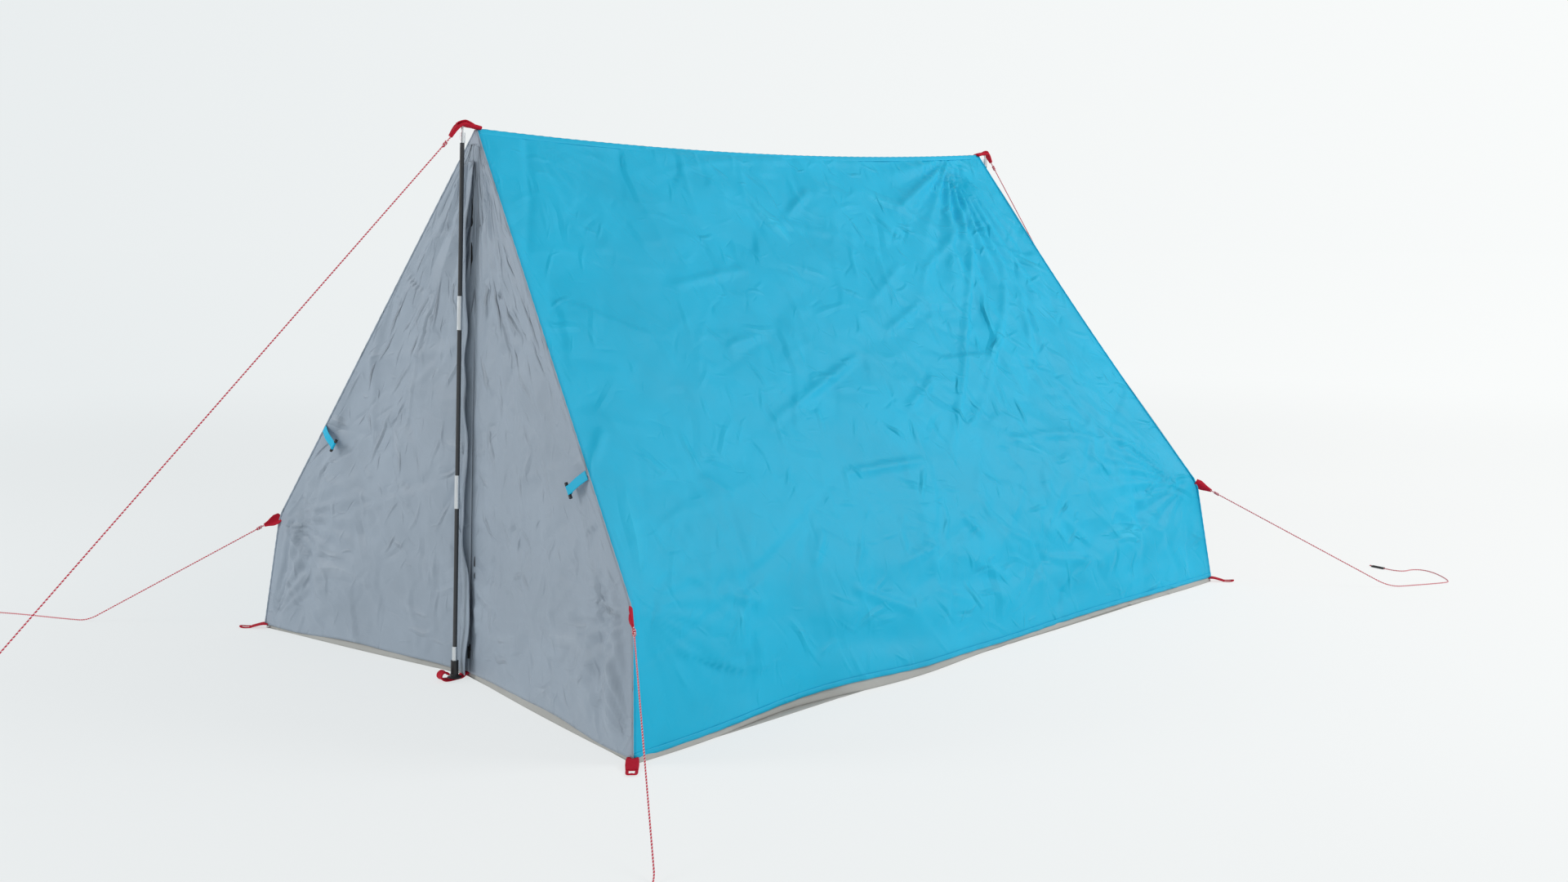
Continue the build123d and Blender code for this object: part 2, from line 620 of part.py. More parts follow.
# Door tie-backs: a strap from the roof's front edge, and a toggle through the loop at its end.
for name, side in SIDES.items():
    edge_top, edge_low = on_side(RIDGE_END, side, -1), on_side(KNEE, side, -1)
    along_edge = (edge_low - edge_top).normalized()
    root = edge_top + (edge_low - edge_top) * STRAP_SHARE
    wall = panel_plane(gusset(side, -1, GUSSET_FOOT, HINGE_GAP / 2), INSIDE)
    face = -wall.z_dir
    reach = face.cross(along_edge).normalized()
    if reach.X * side > 0:
        reach = -reach
    strap_plane = Plane(
        origin=root + face * (STRAP_GAP + TOGGLE_RADIUS) + reach * HINGE_GAP,
        x_dir=reach,
        z_dir=along_edge,
    )
    eye = STRAP_LENGTH - TOGGLE_NECK - WEBBING
    with BuildPart() as tie_strap:
        with BuildSketch(strap_plane):
            with Locations((eye / 2, 0)):
                Rectangle(eye, CLOTH)
            with Locations((eye, 0)):
                Circle(TOGGLE_NECK + TOGGLE_FIT + CLOTH)
                Circle(TOGGLE_NECK + TOGGLE_FIT, mode=Mode.SUBTRACT)
        extrude(amount=STRAP_WIDTH / 2, both=True)
    save(tie_strap, f"tie_strap_{name}")

    with BuildPart() as toggle:
        with BuildSketch(strap_plane):
            with Locations((eye, 0)):
                Circle(TOGGLE_NECK)
        extrude(amount=TOGGLE_LENGTH / 2, both=True)
        for way in (-1, 1):
            with BuildSketch(strap_plane.offset(way * (STRAP_WIDTH / 2 + TOGGLE_STAND))):
                with Locations((eye, 0)):
                    Circle(TOGGLE_RADIUS)
            extrude(amount=way * (TOGGLE_LENGTH - STRAP_WIDTH) / 2 - way * TOGGLE_STAND)
    save(toggle, f"toggle_{name}")
    toggle_centre = strap_plane.from_local_coords(Vector(eye, 0, 0))
    print(name, "strap hinge", [round(v, 2) for v in root + face * STRAP_GAP], [round(v, 5) for v in along_edge])
    print(name, "strap face", [round(v, 5) for v in face], "toggle", [round(v, 2) for v in toggle_centre])

print("zip axis", [round(v, 6) for v in zip_axis], "pull pin", [round(v, 3) for v in pull_pin])
print("pull axis", [round(v, 6) for v in across])
for name, side in SIDES.items():
    plane = end_plane(side, -1, ZIP_X)
    low = on_plane(plane, hinge_x(side, 0), 0) + plane.z_dir * CLOTH / 2
    high = on_plane(plane, hinge_x(side, ENTRY_TOP_HEIGHT), ENTRY_TOP_HEIGHT) + plane.z_dir * CLOTH / 2
    print(name, "door hinge", [round(v, 3) for v in low], [round(v, 6) for v in (high - low).normalized()])
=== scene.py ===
import json

import bpy
import numpy as np
from numpy import arctan2, array, clip, concatenate, cos, cross, hypot, linspace, pi, radians, sin, sqrt
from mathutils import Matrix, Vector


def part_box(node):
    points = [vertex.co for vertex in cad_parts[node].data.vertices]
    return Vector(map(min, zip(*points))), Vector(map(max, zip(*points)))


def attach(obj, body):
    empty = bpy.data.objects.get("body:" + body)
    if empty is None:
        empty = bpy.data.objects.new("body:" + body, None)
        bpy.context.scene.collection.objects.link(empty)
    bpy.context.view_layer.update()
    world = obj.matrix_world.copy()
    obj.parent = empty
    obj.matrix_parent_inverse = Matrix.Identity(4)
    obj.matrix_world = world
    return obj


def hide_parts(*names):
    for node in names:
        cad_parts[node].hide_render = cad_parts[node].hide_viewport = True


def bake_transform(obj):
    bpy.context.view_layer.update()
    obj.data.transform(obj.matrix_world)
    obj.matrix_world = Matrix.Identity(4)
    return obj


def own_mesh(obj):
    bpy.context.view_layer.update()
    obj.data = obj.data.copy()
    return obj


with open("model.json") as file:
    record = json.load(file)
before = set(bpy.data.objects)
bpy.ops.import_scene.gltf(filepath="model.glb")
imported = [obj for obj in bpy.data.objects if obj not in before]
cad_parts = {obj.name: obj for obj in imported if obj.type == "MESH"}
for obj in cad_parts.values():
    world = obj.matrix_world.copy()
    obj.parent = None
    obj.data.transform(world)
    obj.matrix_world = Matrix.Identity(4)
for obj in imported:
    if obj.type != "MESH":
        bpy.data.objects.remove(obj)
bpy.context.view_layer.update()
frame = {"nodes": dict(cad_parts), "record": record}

# Camera. It stands off the tent's front right corner at chest height, looking slightly down, so that
# the whole door and the whole right side show.
CAMERA_PLACE = (2.813, -2.794, 0.975)
LOOK_DOWN, LOOK_LEFT = 7.86, 44.55


def put_object(name, data):
    """A new object in the scene, at the origin and unturned."""
    made = bpy.data.objects.new(name, data)
    bpy.context.scene.collection.objects.link(made)
    return made


camera_data = bpy.data.cameras.new("camera")
camera_data.lens = 35.65
camera_data.sensor_width = 36.0
camera = put_object("camera", camera_data)
camera.location = CAMERA_PLACE
camera.rotation_euler = (radians(90 - LOOK_DOWN), 0, radians(LOOK_LEFT))
bpy.context.scene.camera = camera
bpy.context.scene.view_settings.view_transform = "Standard"

# Studio. A wide pale floor that fades into an even pale surround, lit by the surround itself and by two
# large soft boxes, one high behind the right side and one before the door end.
SURROUND_LEFT, SURROUND_RIGHT = (0.81, 0.845, 0.855), (0.955, 0.972, 0.967)
LEFT_TO_RIGHT = (0.7126, 0.7016, 0.0)
AMBIENT = 0.6
FLOOR_RADIUS, FLOOR_RINGS, FLOOR_SPOKES = 60.0, 24, 96
FLOOR_PAINT = (0.9, 0.9, 0.9, 1)
GLOW_STARTS, GLOW_FULL, GLOW_LEAST = 1.6, 7.0, 0.74


def put_mesh(name, points, faces, uv=None, caps=(), smooth=True):
    """A mesh of points and quads, closed by caps given as lists of points, with uv for each point."""
    mesh = bpy.data.meshes.new(name)
    faces = faces.tolist() + [list(map(int, cap)) for cap in caps]
    mesh.from_pydata(points.reshape(-1, 3).tolist(), [], faces)
    if uv is not None:
        corners = np.zeros(len(mesh.loops), np.int32)
        mesh.loops.foreach_get("vertex_index", corners)
        uv = uv.reshape(-1, 2)[corners].astype(np.float32)
        mesh.uv_layers.new(name="UVMap").data.foreach_set("uv", uv.ravel())
    mesh.polygons.foreach_set("use_smooth", np.full(len(mesh.polygons), smooth))
    mesh.update()
    return put_object(name, mesh)


def grid_faces(rows, columns, wrap=False):
    """Quads between neighbours in a rows by columns grid, whose last column joins the first if wrap."""
    i, j = np.meshgrid(np.arange(rows - 1), np.arange(columns if wrap else columns - 1), indexing="ij")
    k = (j + 1) % columns
    quads = [i * columns + j, i * columns + k, (i + 1) * columns + k, (i + 1) * columns + j]
    return np.stack(quads, -1).reshape(-1, 4)


def joined(*parts):
    """The parts as the last axis of one array, each spread to the others' shape."""
    return np.stack(np.broadcast_arrays(*parts), -1)


def new_material(name):
    """A node material, with its node tree and its Principled shader."""
    material = bpy.data.materials.new(name)
    material.use_nodes = True
    return material, material.node_tree, material.node_tree.nodes["Principled BSDF"]


def feed(made, **sockets):
    """Sets a node's inputs, by name or number, to numbers, colours or other nodes' outputs."""
    for name, value in sockets.items():
        socket = made.inputs[int(name[1:])] if name[1:].isdigit() else made.inputs[name.replace("_", " ")]
        if isinstance(value, bpy.types.NodeSocket):
            made.id_data.links.new(value, socket)
        else:
            socket.default_value = value


def node(tree, kind, settings=None, **sockets):
    """Adds a shader node with these properties and inputs, and gives its outputs."""
    made = tree.nodes.new("ShaderNode" + kind)
    for name, value in (settings or {}).items():
        setattr(made, name, value)
    feed(made, **sockets)
    return made.outputs


def calc(operation, *values, **sockets):
    """The result of a Math node, or of a VectorMath node where the first value is a vector or a colour."""
    kind = "Math" if values[0].type == "VALUE" else "VectorMath"
    sockets.update({f"_{k}": value for k, value in enumerate(values)})
    made = node(values[0].id_data, kind, {"operation": operation}, **sockets)
    return made[operation in ("LENGTH", "DOT_PRODUCT")]


def ranged(value, low, high, to_low=0.0, to_high=1.0, smooth=False):
    """The value, mapped from low and high to to_low and to_high and held between them."""
    settings = {"interpolation_type": "SMOOTHSTEP"} if smooth else {}
    limits = {"From_Min": low, "From_Max": high, "To_Min": to_low, "To_Max": to_high}
    return node(value.id_data, "MapRange", settings, Value=value, **limits)[0]


def mixed(share, ground, over):
    """The ground colour where share is 0 and the colour over it where share is 1."""
    ground, over = [(*colour, 1) if isinstance(colour, tuple) else colour for colour in (ground, over)]
    return node(share.id_data, "Mix", {"data_type": "RGBA"}, _0=share, _6=ground, _7=over)[2]


def own_place(tree):
    """The place on the piece, in metres."""
    return node(tree, "TexCoord")["Object"]


def surround_tint(sideways):
    """The surround's colour from left to right, for sideways from -0.5 to 0.5."""
    return mixed(ranged(sideways, -0.5, 0.5), SURROUND_LEFT, SURROUND_RIGHT)


radii = concatenate([[0.01], np.geomspace(0.5, FLOOR_RADIUS, FLOOR_RINGS)])
turns = linspace(0, 2 * pi, FLOOR_SPOKES, endpoint=False)
ring, turn = np.meshgrid(radii, turns, indexing="ij")
floor_points = joined(ring * cos(turn), -ring * sin(turn), 0)
floor = put_mesh("studio_floor", floor_points, grid_faces(len(radii), len(turns), wrap=True))
floor_paint, tree, shader = new_material("floor_paint")
feed(shader, Base_Color=FLOOR_PAINT, Roughness=0.7, Specular_IOR_Level=0.2)
place = own_place(tree)
reach = calc("LENGTH", place)
fade = ranged(reach, GLOW_STARTS, GLOW_FULL, GLOW_LEAST, smooth=True)
sideways = calc("DOT_PRODUCT", place, LEFT_TO_RIGHT)
sideways = calc("DIVIDE", sideways, calc("ADD", reach, 1.5))
glow = node(tree, "Emission", Color=surround_tint(sideways))
mix = node(tree, "MixShader", _0=fade, _1=shader.outputs[0], _2=glow[0])
feed(tree.nodes["Material Output"], Surface=mix[0])
floor.data.materials.append(floor_paint)

world = bpy.data.worlds.new("surround")
world.use_nodes = True
tree = world.node_tree
way = node(tree, "TexCoord")["Generated"]
sideways = calc("DOT_PRODUCT", way, LEFT_TO_RIGHT)
strength = ranged(node(tree, "LightPath")["Is Camera Ray"], 0, 1, AMBIENT)
feed(tree.nodes["Background"], Color=surround_tint(sideways), Strength=strength)
bpy.context.scene.world = world


def soft_box(name, place, aim, size, power):
    """A square area light at place that faces aim."""
    light = bpy.data.lights.new(name, "AREA")
    light.energy = power
    light.size = size
    lamp = put_object(name, light)
    lamp.location = place
    x, y, z = np.subtract(aim, place)
    lamp.rotation_euler = (arctan2(hypot(x, y), -z), 0, arctan2(-x, y))


soft_box("key_light", (4.0, 3.2, 3.6), (0.3, 0, 0.5), 2.6, 150)
soft_box("front_light", (-2.6, -4.0, 2.4), (0, -0.9, 0.5), 1.6, 78)

# Guy lines. Each is a 3 mm braided cord, red with white flecks, tied into a webbing tab, pulled tight to
# the ground point where its peg would stand, with a loose tail through a plastic runner to an end knot.
CORD = 0.003
LIE, RUNNER_LIE, KNOT_LIE = CORD / 2, 0.0026, 0.0036
BRAID_PITCH, BRAID_STEP, BRAID_SIDES, STRANDS = 0.0068, 0.0016, 12, 4
KNOT_SIZE, KNOT_RADIUS, KNOT_STEP = 0.002108, 0.00125, 0.0008
HITCH_TURNS, HITCH_PITCH, HITCH_SIZE, HITCH_RADIUS, HITCH_STEP = 4, 0.0034, 0.0026, 0.0014, 0.001
KNEE_TAB, HITCH_START = 0.042, 0.012
knee_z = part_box("roof_right")[0].z
knee_x, knee_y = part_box("roof_right")[1].x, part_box("roof_right")[1].y
# Each row has the corner's signs, the ground point, the tail's points on the floor and the cord's length.
KNEE_GUYS = {
    "right_front": ((1, -1), (1.122, -1.352), [
        (1.146, -1.395), (1.163, -1.441), (1.164, -1.49), (1.145, -1.535), (1.11, -1.569),
        (1.066, -1.59), (1.021, -1.608), (0.976, -1.627)], 0.982),
    "left_front": ((-1, -1), (-1.075, -1.322), [
        (-1.126, -1.35), (-1.18, -1.376), (-1.236, -1.402), (-1.292, -1.431), (-1.344, -1.462),
        (-1.374, -1.506), (-1.368, -1.556), (-1.332, -1.592), (-1.291, -1.62), (-1.25, -1.647)], 1.096),
    "right_rear": ((1, 1), (1.085, 1.316), [
        (1.124, 1.384), (1.151, 1.433), (1.174, 1.478), (1.173, 1.499), (1.142, 1.538), (1.1, 1.577),
        (1.061, 1.592), (1.036, 1.57), (1.034, 1.54), (1.014, 1.52), (0.974, 1.527), (0.934, 1.535)], 1.066),
    "left_rear": ((-1, 1), (-1.085, 1.316), [
        (-1.116, 1.35), (-1.152, 1.392), (-1.166, 1.444), (-1.14, 1.49), (-1.092, 1.508),
        (-1.042, 1.502), (-0.994, 1.49), (-0.946, 1.479)], 0.95),
}
RIDGE_GUY_START = (0.931, 1.159)
RIDGE_GUYS = {
    "ridge_front": (-1, -2.127, [
        (-0.045, -2.146), (-0.094, -2.139), (-0.137, -2.115), (-0.165, -2.075), (-0.179, -2.028),
        (-0.187, -1.979), (-0.194, -1.93), (-0.2, -1.881)], 2.051),
    "ridge_rear": (1, 2.016, [
        (-0.046, 2.031), (-0.094, 2.024), (-0.138, 2.003), (-0.168, 1.965), (-0.184, 1.919),
        (-0.193, 1.871), (-0.201, 1.823), (-0.208, 1.775)], 1.967),
}


def fit_piece(piece, material, slot, body="tent", stands_for=()):
    """Gives a piece its material, the body it rides on and the CAD nodes that it stands for; slot is not
    used.
    """
    piece.data.materials.append(material)
    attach(piece, body)
    if stands_for:
        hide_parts(*stands_for)
    return piece


def unit(vectors):
    """The vectors scaled to length 1."""
    return vectors / np.linalg.norm(vectors, axis=-1, keepdims=True)


def smooth_line(points):
    """Points along an open NURBS curve of order 3 whose control points are given."""
    data = bpy.data.curves.new("line", "CURVE")
    data.dimensions = "3D"
    spline = data.splines.new("NURBS")
    spline.points.add(len(points) - 1)
    spline.points.foreach_set("co", np.c_[points, np.ones(len(points))].ravel())
    spline.order_u = 3
    spline.use_endpoint_u = True
    spline.resolution_u = 24
    holder = bpy.data.objects.new("line", data)
    mesh = bpy.data.meshes.new_from_object(holder)
    line = np.zeros(len(mesh.vertices) * 3)
    mesh.vertices.foreach_get("co", line)
    bpy.data.objects.remove(holder)
    bpy.data.curves.remove(data)
    bpy.data.meshes.remove(mesh)
    return line.reshape(-1, 3)


def distances(line):
    """Each point's distance from the start, measured along the line."""
    return concatenate([[0], np.cumsum(np.linalg.norm(np.diff(line, axis=0), axis=1))])


def even_line(line, step):
    """The same line with points at even steps along it, and its distance from the start at each."""
    along = distances(line)
    marks = linspace(0, along[-1], int(along[-1] / step) + 1)
    return np.stack([np.interp(marks, along, line[:, k]) for k in range(3)], -1), marks


def circle_ways(line, sides, up=(0, 0, 1)):
    """At each point of a line, the unit ways to the corners of a circle across it, and their angles."""
    along = unit(np.gradient(line, axis=0))
    across = unit(cross(along, up))
    over = cross(across, along)
    angle = linspace(0, 2 * pi, sides, endpoint=False)
    return cos(angle)[:, None] * across[:, None] + sin(angle)[:, None] * over[:, None], angle


def closed_tube(name, rings, uv=None):
    """Rings of points joined in a row, with a flat cap on the first and the last."""
    rows, columns = rings.shape[:2]
    first, last = np.arange(columns), np.arange(columns) + (rows - 1) * columns
    faces = grid_faces(rows, columns, wrap=True)[:, ::-1]
    return put_mesh(name, rings, faces, uv, caps=(first, last[::-1]))


def braided_tube(name, line, radius, step=BRAID_STEP):
    """At angle a and distance d the radius is less by the gaps |sin| of strands that wind both ways."""
    line, marks = even_line(line, step)
    ways, a = circle_ways(line, BRAID_SIDES)
    wind = 2 * pi * marks[:, None] / BRAID_PITCH
    plait = abs(sin(STRANDS * (a + wind) / 2) * sin(STRANDS * (a - wind) / 2))
    rings = line[:, None] + (radius * (0.92 + 0.12 * plait))[..., None] * ways
    return closed_tube(name, rings, joined(a / (2 * pi), marks[:, None] / BRAID_PITCH))


def own_uv(tree):
    """The piece's own UV map, in metres, or in turns and braid pitches on a cord."""
    return node(tree, "UVMap", {"uv_map": "UVMap"})[0]


def strand(parts, way, low, high):
    """1 on a strand that winds that way round the cord and fills low to high of a turn, 0 beside it."""
    share = calc("FRACT", calc("MULTIPLY_ADD", parts[1], way, parts[0]))
    return calc("MULTIPLY", calc("GREATER_THAN", share, low), calc("LESS_THAN", share, high))


def knot_line(centre, size, turn):
    """An overhand knot: x = sin t + 2 sin 2t, y = cos t - 2 cos 2t, z = -sin 3t, scaled and turned."""
    t = linspace(0, 2 * pi, 90)
    x, y = (sin(t) + 2 * sin(2 * t)) * size / 3, (cos(t) - 2 * cos(2 * t)) * size / 3
    c, s = cos(turn), sin(turn)
    return joined(x * c - y * s, x * s + y * c, -sin(3 * t) * size * 0.42) + centre


def coil_line(start, along, size, turns, length):
    """A close helix of that many turns round a straight stretch of cord."""
    t = linspace(0, 1, int(turns * 18))[:, None]
    across = unit(cross(along, (0, 0, 1)))
    angle = 2 * pi * turns * t
    return start + along * t * length + size * (cos(angle) * across + sin(angle) * cross(across, along))


braid, tree, shader = new_material("guy_braid")
parts = node(tree, "SeparateXYZ", Vector=own_uv(tree))
colour = mixed(strand(parts, 1.0, 0.0, 0.3), (0.62, 0.004, 0.04), (0.86, 0.8, 0.82))
colour = mixed(strand(parts, -1.0, 0.46, 0.56), colour, (0.2, 0.01, 0.03))
feed(shader, Base_Color=colour, Roughness=0.75, Sheen_Weight=0.2)

guy_routes = {}
for name, ((side, end), (x, y), tail, length) in KNEE_GUYS.items():
    knee = array([side * knee_x, end * knee_y, knee_z])
    guy_routes[name] = (knee + unit(array([x, y, LIE]) - knee) * KNEE_TAB, (x, y, LIE), tail, length)
for name, (end, anchor_y, tail, length) in RIDGE_GUYS.items():
    start = array([0, end * RIDGE_GUY_START[0], RIDGE_GUY_START[1]])
    guy_routes[name] = (start, (0, anchor_y, LIE), tail, length)
for name, (start, anchor, tail, length) in guy_routes.items():
    anchor = array(anchor)
    way = unit(anchor - start)
    turn_reach = hypot(*(array(tail[0]) - anchor[:2]))
    heights = [LIE] * (len(tail) - 3) + [RUNNER_LIE] * 3
    loose = [(x, y, z) for (x, y), z in zip(tail, heights)]
    line = smooth_line(array([start, anchor - way * turn_reach, anchor, *loose]))
    guy = braided_tube(f"guy_line_{name}", line, CORD / 2)
    knot = knot_line((*tail[-1], KNOT_LIE), KNOT_SIZE, length)
    knot = braided_tube(f"guy_knot_{name}", knot, KNOT_RADIUS, KNOT_STEP)
    hitch = coil_line(start + way * HITCH_START, way, HITCH_SIZE, HITCH_TURNS, HITCH_PITCH * HITCH_TURNS)
    hitch = braided_tube(f"guy_hitch_{name}", hitch, HITCH_RADIUS, HITCH_STEP)
    fit_piece(guy, braid, "guy_cord", stands_for=[f"guy_{name}"])
    fit_piece(knot, braid, "guy_cord", stands_for=["guy_end_knots"])
    fit_piece(hitch, braid, "guy_cord")

# Blue side sheets. Each is one width of coated polyester taffeta from the ridge seam to the hem, sewn to
# the end walls along its edges and pulled out at the knees by the guys, and slack between those points.
# The paler blue colours raised crease crests: partly wear, partly painted highlight where the crests catch
# light.
BLUE, BLUE_WEAR_AND_HIGHLIGHT = (0.002, 0.44, 0.69), (0.03, 0.54, 0.8)
CLOTH_STEP = 0.0082
CLOTH_THICKNESS = 0.0005
RIDGE_SAG, KNEE_SAG, REAR_DRAW = 0.026, 0.03, 0.023
HEM_HEIGHT = 0.013
KNEE_SHARE = 0.8
THREADS = 9000.0
FOLD_WIDTH, FOLD_REACH = 0.085, 0.52
CREASE_LAYERS = ((0.26, 0.0, 0.12), (0.15, 3.3, 0.15), (0.095, 7.1, 0.17), (0.055, 5.9, 0.12))
ridge_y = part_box("ridge_seam")[1].y
ridge_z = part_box("ridge_seam")[1].z + 0.002
corner_x, corner_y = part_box("groundsheet")[1].x + 0.001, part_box("groundsheet")[1].y + 0.001
SIDE_LENGTH, SIDE_WIDTH = 2 * corner_y, 1.4
# Each row of the long creases has points as pairs, in metres along the ridge and down from it.
LONG_CREASES = (
    (1.89, 0.18, 1.68, 0.38, 1.38, 0.7, 1.17, 0.91), (1.87, 0.36, 1.7, 0.54, 1.52, 0.69, 1.4, 0.79),
    (1.41, 0.78, 1.28, 0.85), (1.25, 0.7, 1.08, 0.78), (1.88, 0.16, 1.68, 0.28, 1.44, 0.39),
    (1.89, 0.13, 1.81, 0.21, 1.65, 0.36), (1.91, 0.03, 1.75, 0.08, 1.49, 0.18),
    (1.38, 0.9, 1.67, 0.91, 1.97, 0.98), (0.57, 0.78, 0.64, 0.75, 0.92, 0.65), (0.74, 0.71, 1.02, 0.61),
    (0.45, 0.4, 0.75, 0.35), (0.08, 0.74, 0.01, 0.82), (0.99, 0.2, 1.15, 0.11), (1.86, 0.45, 1.71, 0.69),
    (1.38, 0.35, 1.15, 0.47), (1.15, 0.56, 1.36, 0.48), (0.53, 0.57, 0.69, 0.54), (1.77, 0.74, 1.82, 0.89),
    (0.76, 0.92, 1.06, 0.92), (0.31, 0.87, 0.38, 0.93), (0.56, 1.12, 0.62, 1.04), (1.11, 1.07, 1.16, 1.14),
    (1.48, 1.13, 1.57, 1.22), (1.24, 1.13, 1.37, 1.2), (1.08, 1.19, 1.21, 1.25), (0.83, 1.16, 0.99, 1.13),
    (1.71, 1.15, 1.89, 1.24), (0.66, 1.19, 0.84, 1.27), (0.27, 1.13, 0.4, 1.18), (0.91, 1.23, 1.05, 1.28),
    (1.39, 1.23, 1.6, 1.28))


def unit_grid(rows, columns):
    """Two arrays, rows by columns, that run from 0 to 1 down the rows and along the columns."""
    return np.meshgrid(linspace(0, 1, rows), linspace(0, 1, columns), indexing="ij")


def soft_step(x, width, low, high):
    """(x + sqrt(x^2 + width^2)) / 2, near x above 0 and 0 below, tilted to be exact at low and high."""
    share = (x - low) / (high - low)
    bent_low, bent, bent_high = [(a + sqrt(a**2 + width**2)) / 2 for a in (low, x, high)]
    return bent - bent_low * (1 - share) - (bent_high - high) * share


def ease(x, low, high):
    """0 below low and 1 above high, with 3x^2 - 2x^3 between."""
    share = clip((x - low) / (high - low), 0, 1)
    return share * share * (3 - 2 * share)


def bump_at(x, middle, width):
    """exp(-((x - middle) / width)^2)"""
    return np.exp(-(((x - middle) / width) ** 2))


def hem_height(y):
    """Height of the blue hem: lifted where the sheet hangs slack and low at its front corner."""
    lift = 0.01 * bump_at(y, -0.43, 0.2) + 0.003 * bump_at(y, -0.1, 0.12) + 0.002 * bump_at(y, 0.6, 0.25)
    return HEM_HEIGHT + lift - 0.004 * bump_at(y, -corner_y, 0.2) - 0.002 * bump_at(y, 0.15, 0.2)


def hem_reach(y):
    """How far out the side hem lies: a straight line between the corners, drawn in where it is slack."""
    slack = 0.022 * bump_at(y, -0.6, 0.18) + 0.008 * bump_at(y, 0.35, 0.3) - 0.01 * bump_at(y, -0.2, 0.16)
    return corner_x - 0.001 - slack


def side_base(u, v, side):
    """Straight from ridge to knee to hem, rounded at the knee by soft_step and sagging as 4u(1-u)."""
    slack = 4 * u * (1 - u)
    y_hem = (2 * u - 1) * corner_y
    ridge = joined(0, (2 * u - 1) * ridge_y, ridge_z - RIDGE_SAG * slack)
    knee = joined(knee_x - KNEE_SAG * slack, (2 * u - 1) * knee_y, knee_z)
    hem = joined(hem_reach(y_hem), y_hem, hem_height(y_hem))
    bend = soft_step(v - KNEE_SHARE, 0.012 + 0.16 * slack**0.8, -KNEE_SHARE, 1 - KNEE_SHARE)[..., None]
    points = ridge + (knee - ridge) / KNEE_SHARE * (v[..., None] - bend)
    points += (hem - knee) / (1 - KNEE_SHARE) * bend
    points[..., 1] -= REAR_DRAW * u**4 * sin(pi * clip(v / KNEE_SHARE, 0, 1))
    points[..., 0] *= side
    return points


def crumple(s, t, cell, seed):
    """Lowest of 0.5 (x^2 + y^2) + ax + by + c over nine near cells: tilted facets with sharp creases."""
    table = np.random.default_rng(seed).random((64, 64, 5))
    phase = np.random.default_rng(seed + 1).random(4) * 2 * pi
    s, t = s / cell, t / cell
    a = s + 0.22 * sin(t * 1.3 + phase[0]) + 0.12 * sin(t * 3.1 + phase[1])
    b = t + 0.22 * sin(s * 1.2 + phase[2]) + 0.12 * sin(s * 2.9 + phase[3])
    column, row = np.floor(a).astype(int), np.floor(b).astype(int)
    lowest = np.full(s.shape, 9.0)
    for i in (-1, 0, 1):
        for j in (-1, 0, 1):
            own = table[(column + i) % 64, (row + j) % 64]
            x, y = a - column - i - own[..., 0], b - row - j - own[..., 1]
            tilt = 1.8 * (own[..., 2] - 0.5) * x + 1.8 * (own[..., 3] - 0.5) * y
            lowest = np.minimum(lowest, 0.5 * (x * x + y * y) + tilt + 0.4 * own[..., 4])
    return lowest


def drawn_crease(s, t, line, depth, width):
    """depth max(0, 1 - d / width) sqrt(4f(1-f)), d from the line and f of the way along it."""
    line = array(line).reshape(-1, 2)
    starts = distances(line)
    nearest, share = np.full(s.shape, 9.0), 0 * s
    for start, run, a, b in zip(starts, np.diff(starts), line, line[1:]):
        way = (b - a) / run
        f = clip((s - a[0]) * way[0] + (t - a[1]) * way[1], 0, run)
        d = hypot(s - a[0] - f * way[0], t - a[1] - f * way[1])
        share = np.where(d < nearest, (start + f) / starts[-1], share)
        nearest = np.minimum(nearest, d)
    return depth * clip(1 - nearest / width, 0, 1) * sqrt(clip(4 * share * (1 - share), 0, 1))


def sharp_creases(s, t, count, reach, width, seed):
    """Ridges max(0, 1 - |d| / width) of random place, turn, length and sign, tapered at their ends."""
    rng = np.random.default_rng(seed)
    height = 0 * s
    for _ in range(count):
        at_s, at_t = rng.uniform(s.min(), s.max()), rng.uniform(t.min(), t.max())
        turn, size, sign = rng.uniform(0, pi), rng.uniform(0.4, 1), rng.choice((-1, 1))
        x, y = s - at_s, t - at_t
        along, off = x * cos(turn) + y * sin(turn), y * cos(turn) - x * sin(turn)
        off = off + 0.1 * along**2 / reach * sign
        taper = clip(1 - (along / (size * reach)) ** 2, 0, 1)
        height += sign * size * taper * clip(1 - abs(off) / (width * (0.3 + 0.7 * taper)), 0, 1)
    return height


def fan(s, t, apex, towards, spread, count, reach, seed):
    """Folds from apex: count uneven triangle waves across the spread, dying away as exp(-r / reach)."""
    x, y = s - apex[0], t - apex[1]
    r = hypot(x, y) + 1e-6
    angle = (arctan2(y, x) - towards + pi) % (2 * pi) - pi
    rng = np.random.default_rng(seed)
    uneven = 0.5 * sin(angle / spread * 2.2 + rng.uniform(0, 6)) + 0.3 * sin(5 * r + rng.uniform(0, 6))
    wave = abs(((angle / spread + 1) * count / 2 + uneven) % 1 * 2 - 1) * 2 - 1
    return wave * np.exp(-r / reach) * (r / (r + 0.02)) * clip(1 - abs(angle) / spread, 0, 1) ** 0.5


def creased(s, t, seed, facets, creases, fans):
    """The sum of crumple, sharp_creases and fan over rows that give a height, a seed step and their sizes."""
    height = 0 * s
    for depth, step, ((a, b), (c, d)), cell in facets:
        height += depth * crumple(a * s + b * t, c * s + d * t, cell, seed + step)
    for depth, step, *sizes in creases:
        height += depth * sharp_creases(s, t, *sizes, seed + step)
    for depth, step, *sizes in fans:
        height += depth * fan(s, t, *sizes, seed + step)
    return height


